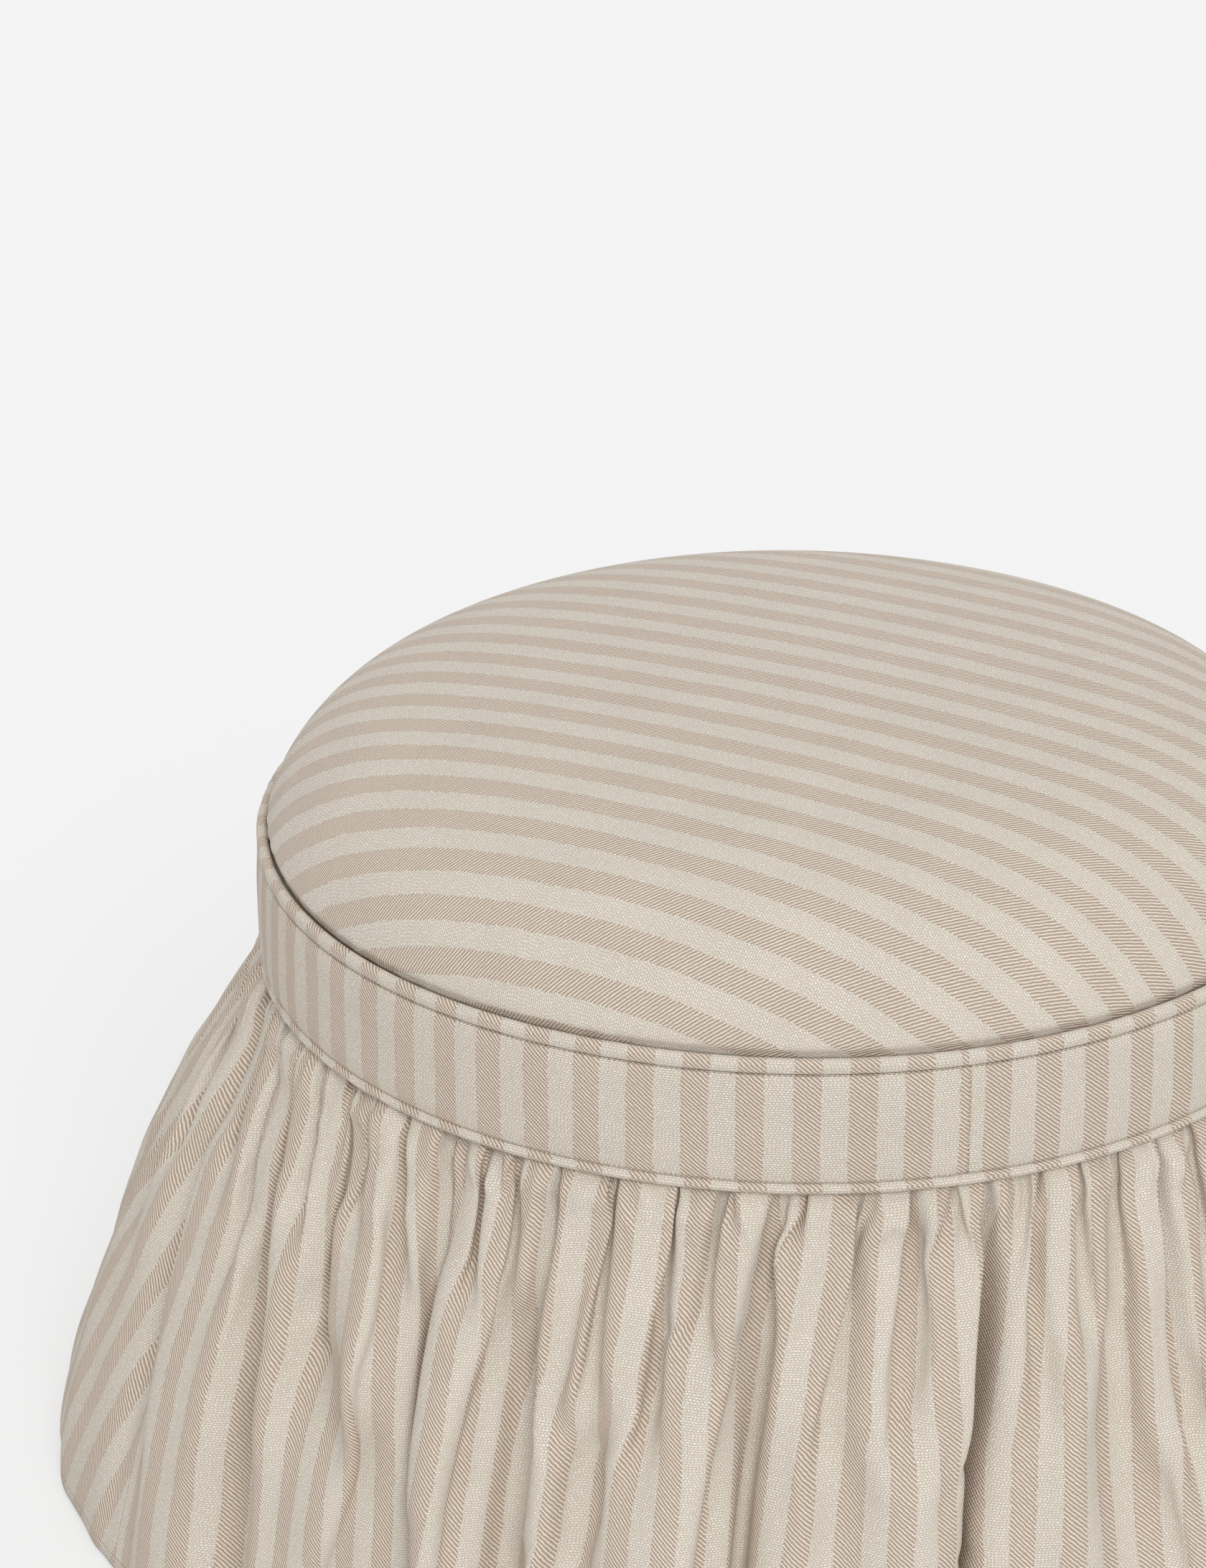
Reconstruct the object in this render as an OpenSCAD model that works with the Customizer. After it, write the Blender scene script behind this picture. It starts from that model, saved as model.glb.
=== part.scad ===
// Round storage ottoman with a lift-off cushioned lid and a gathered skirt.
// Millimetres. +Z is up, the floor is z = 0, and the origin is on the drum's axis.

/* [Drum] */
// Diameter across the padded band
seat_d = 560; // [480:1:640]
// Height of the wooden rim above the floor
rim_h = 346; // [280:1:420]
// Height of the padded band between its two welts
band_h = 58; // [44:1:80]
// Thickness of the bent plywood wall
wall_t = 5; // [3:0.5:8]
// Thickness of the bottom panel
bottom_t = 15; // [12:0.5:20]
// Thickness of the top ring
ring_t = 18; // [12:0.5:24]
// Width of the rim, from the wall's inner face to the storage liner
rim_w = 28; // [24:0.5:36]
// Radial depth of an upright
post_depth = 22; // [16:0.5:23]
// Width of an upright
post_w = 45; // [30:1:60]
// Number of uprights
post_count = 6; // [4:2:10]
// Thickness of the padding under the band
pad_t = 8; // [6:0.5:12]

/* [Storage] */
// Thickness of the liner's card
liner_t = 2.5; // [1.5:0.1:4]
// Thickness of the storage floor board
floor_t = 3; // [2:0.1:6]

/* [Cloth] */
// Thickness of the striped cloth
cloth_t = 1.2; // [0.8:0.1:1.8]
// Thickness of the cotton lining
lining_t = 0.8; // [0.4:0.1:1]
// Thickness of the black dust cover cloth
dust_t = 0.6; // [0.3:0.1:0.8]
// Height of the flat welt on the rim
rim_welt_h = 8; // [6:0.5:10]
// Thickness of the flat welt on the rim
rim_welt_w = 6; // [4.5:0.5:7]
// Diameter of the round welt above the skirt
skirt_welt_d = 6; // [4.5:0.5:7]

/* [Skirt] */
// Radius of the skirt's ridges at the hem
hem_r = 398; // [360:1:440]
// Gap between the hem and the floor
hem_gap = 2; // [1:0.5:8]
// Depth of a main fold at the hem
fold_depth = 17; // [6:0.5:22]
// Depth of the gathers just below the welt
gather_depth = 3; // [1:0.5:5]
// Radial thickness of the gathered skirt cloth
skirt_t = 2; // [1.5:0.1:3]
// Height of the gathered heading that is stapled to the wall
heading_h = 12; // [9:0.5:16]

/* [Lid] */
// Thickness of the lid's plywood panel
panel_t = 12; // [9:0.5:18]
// Gap between the lid's widest line and the inside of the rim welt
lid_side_gap = 2.4; // [1.5:0.1:5]
// Rise of the cushion's gentle crown
crown_h = 18; // [8:0.5:28]
// Rise of the cushion's rounded shoulder
shoulder_h = 62; // [45:0.5:75]
// Height of the drawn-in side below the cushion's widest line
tuck_h = 6; // [4:0.5:9]
// How far the side draws in below the widest line
tuck_in = 10; // [6:0.5:12]
// Thickness of the polyester wadding over the foam
wadding_t = 10; // [6:0.5:14]
// Height of the cleats that centre the lid
cleat_h = 16; // [10:0.5:24]
// Width of a cleat along the radius
cleat_w = 18; // [15:0.5:24]
// Radial play between a cleat and the storage liner
cleat_play = 6; // [4:0.5:9]
// Number of cleats
cleat_count = 4; // [3:1:6]

/* [Glides] */
// Height of a glide
glide_h = 8; // [6:0.5:14]
// Diameter of a glide
glide_d = 30; // [22:1:40]
// Distance of the glides from the wall's inner face
glide_inset = 40; // [30:1:60]
// Number of glides
glide_count = 4; // [3:1:6]

/* [Fasteners] */
// Shank diameter of the frame screws
screw_d = 4; // [3:0.5:5]
// Length of the frame screws
screw_len = 45; // [35:1:60]
// Length of the glide screws
glide_screw_len = 18; // [14:0.5:20]
// Shank diameter of the wall nails
nail_d = 1.6; // [1.2:0.1:2]
// Length of the wall nails
nail_len = 20; // [14:0.5:24]
// Crown width of a staple
staple_w = 10; // [8:0.5:12]
// Leg length of a staple
staple_leg = 8; // [6:0.5:9]
// Wire size of a staple
staple_wire = 0.5; // [0.4:0.1:0.6]

/* [Hidden] */
$fn = 96;

// Space left between two layers that lie on each other
ease = 0.1;
// Space under the lid where it rests on the rim
lid_rest = 0.3;
// Overrun of a cut past the face that it cuts
over = 1;

// Radii, from the outside to the inside
seat_r = seat_d / 2;
band_in_r = seat_r - cloth_t;
wall_r = band_in_r - ease - pad_t;
frame_r = wall_r - wall_t - ease;
liner_out_r = frame_r - rim_w;
liner_in_r = liner_out_r - liner_t;
lining_in_r = liner_in_r - ease - lining_t;
floor_r = lining_in_r - ease;

// Heights, from the floor to the top
dust_z = glide_h + ease / 2;
bottom_z = dust_z + dust_t + ease / 2;
deck_z = bottom_z + bottom_t;
ring_z = rim_h - ring_t;
rim_top = rim_h + ease + lining_t;
skirt_welt_z = rim_h - band_h - ease - skirt_welt_d / 2;

// The lid's layers, from its underside up
lid_z = rim_top + lid_rest;
cover_z = lid_z + dust_t + ease;
panel_z = cover_z + cloth_t + ease;
foam_z = panel_z + panel_t + ease;
lid_r = seat_r - rim_welt_w - lid_side_gap;
wide_z = cover_z + tuck_h;
panel_r = lid_r - tuck_in - cloth_t - ease;
lid_dust_r = (liner_out_r + panel_r) / 2;
cover_turn_r = liner_in_r - cleat_play / 2;
cleat_out_r = lining_in_r - cleat_play;
cleat_in_r = cleat_out_r - cleat_w;

// Exponents of the cushion's profile: a crown that is nearly a parabola,
// and a shoulder that is a rounded square
crown_pow = 1.9;
shoulder_pow = 7.3;
roll_pow = 0.653;
edge_crowding_pow = 2.4;
profile_steps = 26;
tuck_steps = 5;

// Points along the dome at share u of the way from the axis to the widest line,
// closer together near the edge; the layer is t inside the outer face
function dome_s(u) = 1 - pow(1 - u, edge_crowding_pow);
function dome_z(s) = crown_h * (1 - pow(s, crown_pow))
    + shoulder_h * pow(max(0, 1 - pow(s, shoulder_pow)), roll_pow);
function dome_point(u, t) =
    [dome_s(u) * (lid_r - t), wide_z - t + dome_z(dome_s(u))];
function tuck_point(v, t) =
    [lid_r - t - tuck_in * (1 - cos(90 * v)), wide_z - t - (tuck_h - 2 * t) * sin(90 * v)];

// Half section of the cushion at t inside its outer face, closed along the axis
module cushion_section(t) {
    polygon(concat(
        [for (i = [0:profile_steps]) dome_point(i / profile_steps, t)],
        [for (i = [1:tuck_steps]) tuck_point(i / tuck_steps, t)],
        [[0, cover_z + t]]));
}

// A flat ring, or a tube when it is tall
module ring(r_out, r_in, z, h) {
    translate([0, 0, z])
        rotate_extrude()
            translate([r_in, 0]) square([r_out - r_in, h]);
}

// A plain disc
module disc(r, z, h) {
    translate([0, 0, z]) cylinder(r = r, h = h);
}

// Countersunk wood screw with its head's face at z = 0, pointing up
screw_head_share = 2.1;
screw_cone_share = 0.6;
module screw(d, len) {
    head_r = d * screw_head_share / 2;
    cone_h = d * screw_cone_share;
    tip_h = d;
    rotate_extrude()
        polygon([[0, 0], [head_r, 0], [d / 2, cone_h], [d / 2, len - tip_h], [0, len]]);
}

// Staple with the outer face of its crown at z = 0 and its legs pointing up
module staple() {
    leg_x = staple_w / 2 - staple_wire;
    translate([-staple_w / 2, -staple_wire, 0]) cube([staple_w, 2 * staple_wire, staple_wire]);
    for (side = [-1, 1])
        translate([side * leg_x - staple_wire / 2, -staple_wire / 2, 0])
            cube([staple_wire, staple_wire, staple_leg]);
}

// Staples in a circle on a face that looks down, with crowns along the circle
module staple_circle(r, z, count) {
    for (i = [0:count - 1])
        rotate([0, 0, (i + 0.5) * 360 / count])
            translate([r, 0, z]) rotate([0, 0, 90]) staple();
}

glide_r = frame_r - glide_inset;
function glide_angle(i) = 45 + i * 360 / glide_count;
function post_angle(i) = 90 + i * 360 / post_count;
function cleat_angle(i) = 45 + i * 360 / cleat_count;

// Glides
glide_recess = glide_h / 3;
glide_edge = glide_h / 4;
glide_hole_share = 0.65;
module glide() {
    hole_r = screw_d * screw_head_share * glide_hole_share;
    rotate_extrude()
        polygon([[screw_d / 2, glide_recess], [hole_r, glide_recess], [hole_r, 0],
            [glide_d / 2 - glide_edge, 0], [glide_d / 2, glide_edge],
            [glide_d / 2, glide_h], [screw_d / 2, glide_h]]);
}

module glides() {
    color("#3a3a3a")
        for (i = [0:glide_count - 1])
            rotate([0, 0, glide_angle(i)]) translate([glide_r, 0, 0])
                difference() {
                    glide();
                    translate([0, 0, glide_recess]) screw(screw_d, glide_screw_len);
                }
}

module glide_screws() {
    color("silver")
        for (i = [0:glide_count - 1])
            rotate([0, 0, glide_angle(i)]) translate([glide_r, 0, glide_recess])
                screw(screw_d, glide_screw_len);
}

// Base frame
dust_margin = 4;
module base_dust_cover() {
    color("#26262a")
        difference() {
            disc(frame_r - dust_margin, dust_z, dust_t);
            for (i = [0:glide_count - 1])
                rotate([0, 0, glide_angle(i)]) translate([glide_r, 0, glide_recess])
                    cylinder(d = screw_d, h = glide_h);
        }
}

base_staple_count = 24;
module base_dust_staples() {
    color("silver")
        staple_circle(frame_r - dust_margin - staple_w / 2, dust_z, base_staple_count);
}

module bottom_panel() {
    color("burlywood")
        difference() {
            disc(frame_r, bottom_z, bottom_t);
            bottom_screws_plain();
            for (i = [0:glide_count - 1])
                rotate([0, 0, glide_angle(i)]) translate([glide_r, 0, glide_recess])
                    screw(screw_d, glide_screw_len);
        }
}

// The screws stand in the middle of each upright
post_out_x = sqrt(pow(frame_r - ease, 2) - pow(post_w / 2, 2));
post_x = post_out_x - post_depth / 2;
module uprights() {
    color("#d9b98a")
        difference() {
            for (i = [0:post_count - 1])
                rotate([0, 0, post_angle(i)])
                    translate([post_x - post_depth / 2, -post_w / 2, deck_z])
                        cube([post_depth, post_w, ring_z - deck_z]);
            bottom_screws_plain();
            ring_screws_plain();
        }
}

module top_ring() {
    color("burlywood")
        difference() {
            ring(frame_r, liner_out_r + ease, ring_z, ring_t);
            ring_screws_plain();
        }
}

module bottom_screws_plain() {
    for (i = [0:post_count - 1])
        rotate([0, 0, post_angle(i)]) translate([post_x, 0, bottom_z])
            screw(screw_d, screw_len);
}

module ring_screws_plain() {
    for (i = [0:post_count - 1])
        rotate([0, 0, post_angle(i)]) translate([post_x, 0, rim_h])
            rotate([180, 0, 0]) screw(screw_d, screw_len);
}

module bottom_screws() {
    color("silver") bottom_screws_plain();
}

module ring_screws() {
    color("silver") ring_screws_plain();
}

// Each half of the wall ends on the middle of the front and back uprights
wall_joint_gap = 0.5;
module wall_half(from_angle) {
    joint_angle = asin(wall_joint_gap / wall_r);
    rotate([0, 0, from_angle + joint_angle / 2])
        translate([0, 0, bottom_z])
            rotate_extrude(angle = 180 - joint_angle)
                translate([wall_r - wall_t, 0]) square([wall_t, rim_h - bottom_z]);
}

module wall_left() {
    color("#c9a878") wall_half(90);
}

module wall_right() {
    color("#c9a878") wall_half(-90);
}

wall_nail_count = 12;
nail_head_share = 2.5;
module nail() {
    head_h = nail_d / 2;
    rotate([0, -90, 0])
        rotate_extrude()
            polygon([[0, 0], [nail_d * nail_head_share / 2, 0],
                [nail_d * nail_head_share / 2, head_h], [nail_d / 2, head_h],
                [nail_d / 2, nail_len - nail_d], [0, nail_len]]);
}

module wall_nails() {
    color("#8d8d8d")
        for (i = [0:wall_nail_count - 1])
            for (z = [bottom_z + bottom_t / 2, rim_h - ring_t / 2])
                rotate([0, 0, (i + 0.5) * 360 / wall_nail_count])
                    translate([wall_r, 0, z]) nail();
}

// Storage liner
module storage_liner_card() {
    color("#b8b0a0") ring(liner_out_r, liner_in_r, deck_z, rim_h - deck_z);
}

// The lining covers the card and turns out over the rim as far as the welt
module storage_lining() {
    color("ivory")
        rotate_extrude()
            polygon([[lining_in_r, deck_z + ease], [lining_in_r + lining_t, deck_z + ease],
                [lining_in_r + lining_t, rim_h + ease], [seat_r - rim_welt_w - ease, rim_h + ease],
                [seat_r - rim_welt_w - ease, rim_top], [lining_in_r, rim_top]]);
}

module storage_floor_board() {
    color("#a5835a") disc(floor_r, deck_z + ease, floor_t);
}

module storage_floor_cloth() {
    color("ivory") disc(floor_r, deck_z + 2 * ease + floor_t, lining_t);
}

// Padded band. Its padding is thinner over the skirt's heading.
heading_top = skirt_welt_z + heading_h;
heading_r = wall_r + ease + skirt_t;
strip_t = 1.4;
strip_r = heading_r + ease + strip_t;
band_z = rim_h - band_h;
module band_padding() {
    color("white")
        rotate_extrude()
            polygon([[band_in_r - ease, rim_h - ease], [wall_r + ease, rim_h - ease],
                [wall_r + ease, heading_top + ease], [strip_r + ease, heading_top + ease],
                [strip_r + ease, band_z + ease], [band_in_r - ease, band_z + ease]]);
}

module band_cover() {
    color("#cfc4b4") ring(seat_r, band_in_r, band_z, band_h);
}

// Section of a welt, as wide as w and as tall as h, standing on its lowest point
welt_arc_steps = 10;
module welt_section(w, h) {
    polygon(concat(
        [for (i = [0:welt_arc_steps])
            let (a = 180 * i / welt_arc_steps) w / 2 * [cos(a), sin(a)] + [0, h - w / 2]],
        [for (i = [0:welt_arc_steps])
            let (a = 180 + 180 * i / welt_arc_steps) w / 2 * [cos(a), sin(a)] + [0, w / 2]]));
}

rim_welt_r = seat_r - rim_welt_w / 2;
rim_welt_z = rim_h + ease;
module rim_welt() {
    color("#cfc4b4")
        rotate_extrude()
            translate([rim_welt_r, rim_welt_z])
                difference() {
                    welt_section(rim_welt_w, rim_welt_h);
                    translate([0, cloth_t])
                        welt_section(rim_welt_w - 2 * cloth_t, rim_welt_h - 2 * cloth_t);
                }
}

module rim_welt_cord() {
    color("white")
        rotate_extrude()
            translate([rim_welt_r, rim_welt_z + cloth_t + ease])
                welt_section(rim_welt_w - 2 * (cloth_t + ease), rim_welt_h - 2 * (cloth_t + ease));
}

// The round welt has a flange that reaches in to the skirt's heading
skirt_welt_r = seat_r + ease - skirt_welt_d / 2;
flange_t = 2 * cloth_t;
module skirt_welt() {
    color("#cfc4b4")
        rotate_extrude()
            difference() {
                union() {
                    translate([skirt_welt_r, skirt_welt_z]) circle(d = skirt_welt_d);
                    translate([heading_r + ease, skirt_welt_z - flange_t / 2])
                        square([skirt_welt_r - heading_r - ease, flange_t]);
                }
                translate([skirt_welt_r, skirt_welt_z]) circle(d = skirt_welt_d - 2 * cloth_t);
            }
}

module skirt_welt_cord() {
    color("white")
        rotate_extrude()
            translate([skirt_welt_r, skirt_welt_z])
                circle(d = skirt_welt_d - 2 * (cloth_t + ease));
}

// Skirt. Where each main valley meets the hem, as a share of a turn from +X.
valley_turn_shares = [0.0194, 0.0528, 0.0917, 0.1306, 0.1667, 0.1972, 0.2306, 0.2694, 0.3028,
    0.3389, 0.375, 0.4111, 0.4472, 0.4806, 0.5194, 0.5528, 0.5833, 0.6333, 0.6583, 0.6889,
    0.7194, 0.7806, 0.8194, 0.8583, 0.9, 0.9417, 0.9806];
valley_count = len(valley_turn_shares);
// Where the rings of points lie, as a share of the drop from the welt to the hem
drop_shares = [0, 0.05, 0.15, 0.35, 0.65, 1];
flare_pow = 1.47;
depth_swing_share = 0.25;
swing_step = 137;
samples = 3;

skirt_top = skirt_welt_z - flange_t / 2 - ease;
function turn_gap(i) = (i == valley_count - 1 ? 1 : 0)
    + valley_turn_shares[(i + 1) % valley_count] - valley_turn_shares[i];
// A valley between two wide flutes is deeper
function valley_depth_share(i) =
    (turn_gap(i) + turn_gap((i + valley_count - 1) % valley_count)) / 2 * valley_count
    * (1 + depth_swing_share * sin(i * swing_step));
function skirt_angle(k) = 360 * (valley_turn_shares[floor(k / samples)]
    + turn_gap(floor(k / samples)) * (k % samples) / samples);
function flare(t) = 1 - pow(1 - t, flare_pow);
function skirt_ridge_r(t) = heading_r + (hem_r - heading_r) * flare(t);
function skirt_depth(t) = gather_depth + (fold_depth - gather_depth) * t;
function skirt_r(k, t) = skirt_ridge_r(t)
    - (k % samples == 0 && t > 0 ? valley_depth_share(floor(k / samples)) * skirt_depth(t) : 0);
function skirt_z(t) = skirt_top - (skirt_top - hem_gap) * t;

columns = samples * valley_count;
// The inner side's straight edges between two columns stay clear of the wall
widest_step = 360 * max([for (i = [0:valley_count - 1]) turn_gap(i)]) / samples;
skirt_inner_r = (wall_r + ease) / cos(widest_step / 2);
// The first ring is the top of the straight heading, and the others follow the drop
ring_levels = concat([0], drop_shares);
rings = len(ring_levels);
function skirt_point(k, j, inset) = let (
    r = max(skirt_inner_r, skirt_r(k, ring_levels[j]) - inset),
    z = j == 0 ? heading_top : skirt_z(ring_levels[j]))
    [r * cos(skirt_angle(k)), r * sin(skirt_angle(k)), z];
function skirt_index(side, j, k) = side * rings * columns + j * columns + k % columns;

module skirt() {
    points = [for (inset = [0, skirt_t]) for (j = [0:rings - 1]) for (k = [0:columns - 1])
        skirt_point(k, j, inset)];
    outside = [for (j = [0:rings - 2]) for (k = [0:columns - 1]) each [
        [skirt_index(0, j, k), skirt_index(0, j, k + 1), skirt_index(0, j + 1, k)],
        [skirt_index(0, j, k + 1), skirt_index(0, j + 1, k + 1), skirt_index(0, j + 1, k)]]];
    inside = [for (j = [0:rings - 2]) for (k = [0:columns - 1]) each [
        [skirt_index(1, j, k), skirt_index(1, j + 1, k), skirt_index(1, j, k + 1)],
        [skirt_index(1, j, k + 1), skirt_index(1, j + 1, k), skirt_index(1, j + 1, k + 1)]]];
    top = [for (k = [0:columns - 1]) each [
        [skirt_index(0, 0, k), skirt_index(1, 0, k), skirt_index(0, 0, k + 1)],
        [skirt_index(0, 0, k + 1), skirt_index(1, 0, k), skirt_index(1, 0, k + 1)]]];
    hem = [for (k = [0:columns - 1]) each [
        [skirt_index(0, rings - 1, k), skirt_index(0, rings - 1, k + 1), skirt_index(1, rings - 1, k)],
        [skirt_index(0, rings - 1, k + 1), skirt_index(1, rings - 1, k + 1),
            skirt_index(1, rings - 1, k)]]];
    color("#cdbfae")
        polyhedron(points = points, faces = concat(outside, inside, top, hem), convexity = 10);
}

// The lining lies on the wall below the heading, then hangs just inside the deepest valley
lining_lift = 14;
lining_top_share = 0.03;
lining_play = 3 * ease;
deepest_share = max([for (i = [0:valley_count - 1]) valley_depth_share(i)]);
lining_end_share = 1 - lining_lift / (skirt_top - hem_gap);
lining_shares = concat([lining_top_share], [for (t = drop_shares) if (t > 0 && t < 1) t],
    [lining_end_share]);
function lining_valley_r(t) = max(wall_r + ease + lining_t,
    skirt_ridge_r(t) - deepest_share * skirt_depth(t) - skirt_t - lining_play);
// The skirt is straight from its last ring but one to the hem, and the lining keeps to that line
lower_share = drop_shares[len(drop_shares) - 2];
function lining_r(t) = t <= lower_share ? lining_valley_r(t)
    : lining_valley_r(lower_share)
        + (lining_valley_r(1) - lining_valley_r(lower_share)) * (t - lower_share) / (1 - lower_share);
module skirt_lining() {
    last = len(lining_shares) - 1;
    color("#e6e0d4")
        rotate_extrude()
            polygon(concat(
                [for (i = [0:last])
                    [lining_r(lining_shares[i]), skirt_z(lining_shares[i])]],
                [for (i = [last:-1:0])
                    [lining_r(lining_shares[i]) - lining_t, skirt_z(lining_shares[i])]]));
}

// Card strip over the heading, with its staples
strip_z = skirt_welt_z + flange_t;
module tack_strip() {
    color("#b39b78") ring(strip_r, strip_r - strip_t, strip_z, heading_top - strip_z);
}

tack_staple_count = 24;
module tack_staples() {
    color("silver")
        for (i = [0:tack_staple_count - 1])
            rotate([0, 0, i * 360 / tack_staple_count])
                translate([strip_r, 0, (strip_z + heading_top) / 2])
                    rotate([90, 0, 0]) rotate([0, -90, 0]) staple();
}

// Lid
module lid_panel() {
    color("burlywood")
        difference() {
            disc(panel_r, panel_z, panel_t);
            cleat_screws_plain();
        }
}

foam_in = cloth_t + 2 * ease + wadding_t;
module lid_foam() {
    color("#efe2b8")
        rotate_extrude()
            intersection() {
                cushion_section(foam_in);
                translate([0, foam_z]) square([lid_r, crown_h + shoulder_h]);
            }
}

module lid_wadding() {
    color("white")
        rotate_extrude()
            difference() {
                cushion_section(cloth_t + ease);
                square([panel_r + ease, foam_z]);
                intersection() {
                    cushion_section(foam_in - ease);
                    translate([0, foam_z - over]) square([lid_r, crown_h + shoulder_h]);
                }
            }
}

module lid_cover() {
    color("#cfc4b4")
        rotate_extrude()
            difference() {
                cushion_section(0);
                cushion_section(cloth_t);
                square([cover_turn_r, cover_z + cloth_t + over]);
            }
}

lid_staple_count = 32;
lid_staple_r = (cover_turn_r + lid_dust_r) / 2;
module lid_cover_staples() {
    color("silver") staple_circle(lid_staple_r, cover_z, lid_staple_count);
}

module lid_dust_cover() {
    color("#26262a")
        difference() {
            disc(lid_dust_r, lid_z, dust_t);
            cleat_screws_plain();
        }
}

lid_dust_staple_count = 20;
module lid_dust_staples() {
    color("silver")
        staple_circle(lid_dust_r - staple_wire * 2, lid_z, lid_dust_staple_count);
}

// Curved cleats under the lid drop inside the storage liner and centre the lid
cleat_span = 36;
cleat_screw_span_share = 0.6;
cleat_screw_count = 2;
panel_bite_share = 0.8;
cleat_screw_len = cleat_h + dust_t + panel_t * panel_bite_share;
cleat_screw_share = 0.9;
cleat_z = lid_z - ease / 2 - cleat_h;
module lid_cleats() {
    color("#d9b98a")
        difference() {
            for (i = [0:cleat_count - 1])
                rotate([0, 0, cleat_angle(i) - cleat_span / 2])
                    translate([0, 0, cleat_z])
                        rotate_extrude(angle = cleat_span)
                            translate([cleat_in_r, 0]) square([cleat_w, cleat_h]);
            cleat_screws_plain();
        }
}

module cleat_screws_plain() {
    step = cleat_span * cleat_screw_span_share;
    for (i = [0:cleat_count - 1])
        for (j = [0:cleat_screw_count - 1])
            rotate([0, 0, cleat_angle(i) + step * (j / (cleat_screw_count - 1) - 0.5)])
                translate([cleat_in_r + cleat_w / 2, 0, cleat_z])
                    screw(screw_d * cleat_screw_share, cleat_screw_len);
}

module cleat_screws() {
    color("silver") cleat_screws_plain();
}

glides();
glide_screws();
base_dust_cover();
base_dust_staples();
bottom_panel();
uprights();
top_ring();
bottom_screws();
ring_screws();
wall_left();
wall_right();
wall_nails();
storage_liner_card();
storage_lining();
storage_floor_board();
storage_floor_cloth();
band_padding();
band_cover();
rim_welt();
rim_welt_cord();
skirt_welt();
skirt_welt_cord();
skirt();
skirt_lining();
tack_strip();
tack_staples();
lid_panel();
lid_foam();
lid_wadding();
lid_cover();
lid_cover_staples();
lid_dust_cover();
lid_dust_staples();
lid_cleats();
cleat_screws();
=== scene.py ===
# %% [markdown]
# # A round storage ottoman with a gathered skirt
#
# The ottoman is a drum of bent plywood. Its seat is a cushioned lid that lifts off a storage
# well, a padded band runs round the rim between two lines of piping, and a gathered skirt
# hides the drum. All of the outside is one cloth with woven stripes.
#
# The construction is already fixed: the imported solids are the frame. Here every soft part is
# made again as the cloth or padding that it is, and every hard part gets its finish.

# %% Load the frame
import math
from functools import partialmethod

import bpy
import numpy as np
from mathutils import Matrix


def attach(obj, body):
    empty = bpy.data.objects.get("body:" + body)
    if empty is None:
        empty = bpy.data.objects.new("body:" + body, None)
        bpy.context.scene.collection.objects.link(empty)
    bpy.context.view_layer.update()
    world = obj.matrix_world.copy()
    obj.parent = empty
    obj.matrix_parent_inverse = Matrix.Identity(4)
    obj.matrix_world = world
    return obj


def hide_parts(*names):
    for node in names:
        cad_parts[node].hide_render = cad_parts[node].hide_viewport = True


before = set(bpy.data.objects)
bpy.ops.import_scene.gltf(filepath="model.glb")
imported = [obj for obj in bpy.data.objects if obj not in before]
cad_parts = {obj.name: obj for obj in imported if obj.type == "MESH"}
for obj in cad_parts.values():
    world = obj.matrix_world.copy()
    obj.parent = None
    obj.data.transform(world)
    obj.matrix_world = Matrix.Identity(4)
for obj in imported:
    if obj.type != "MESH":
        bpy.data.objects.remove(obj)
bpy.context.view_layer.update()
MM = 0.001

# %% [markdown]
# ## Numbers that the cloth shares with the frame
#
# The frame's heights and radii are repeated here, because the cloth pieces are drawn from
# them. Lengths are in metres, written as millimetres times MM.

# %% Heights and radii of the frame
SEAT_R = 280 * MM
RIM_Z = 346 * MM
BAND_Z = 288 * MM
CLOTH_T = 1.2 * MM
LINING_T = 0.8 * MM
WALL_R = 270.7 * MM
HEADING_R = 272.8 * MM
SKIRT_TOP = 283.6 * MM
HEM_Z = 2 * MM
HEM_R = 398 * MM
FLOOR_Z = 26.9 * MM
LID_R = 271.6 * MM
LID_Z = 347.2 * MM
COVER_Z = 347.9 * MM
WIDE_Z = 353.9 * MM
FOAM_Z = 361.3 * MM
PANEL_R = 260.3 * MM
TURN = 2 * math.pi

# %% [markdown]
# ## Camera
#
# The photograph looks down at about 24 degrees through a long lens, and its frame cuts off
# the right side and the hem. The camera's place was found by fitting the rim's two seams and
# the outline of the cushion. It looks along +Y, level from side to side.

# %% Camera
ELEVATION = math.radians(24.33)
DISTANCE = 2.8616
AIM = np.array([-0.1008, 0.0, 0.37148])

camera = bpy.data.objects.new("camera", bpy.data.cameras.new("camera"))
bpy.context.scene.collection.objects.link(camera)
camera.data.lens = 127.1
camera.data.sensor_width = 36
camera.data.sensor_fit = "AUTO"
camera.location = AIM + DISTANCE * np.array([0, -math.cos(ELEVATION), math.sin(ELEVATION)])
camera.rotation_euler = (math.pi / 2 - ELEVATION, 0, 0)
bpy.context.scene.camera = camera
print("camera at", [round(v, 4) for v in camera.location])

# %% [markdown]
# ## Surfaces from grids
#
# Every new piece is a grid of points worked out with numpy. `skin` turns such a grid into a
# mesh. A grid may close on itself in either direction, and its ends may be closed by a fan.
# The map of the cloth is stored as a UV map in metres: u runs across the stripes and v runs
# along them, so the weave has its true scale on every piece.

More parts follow.
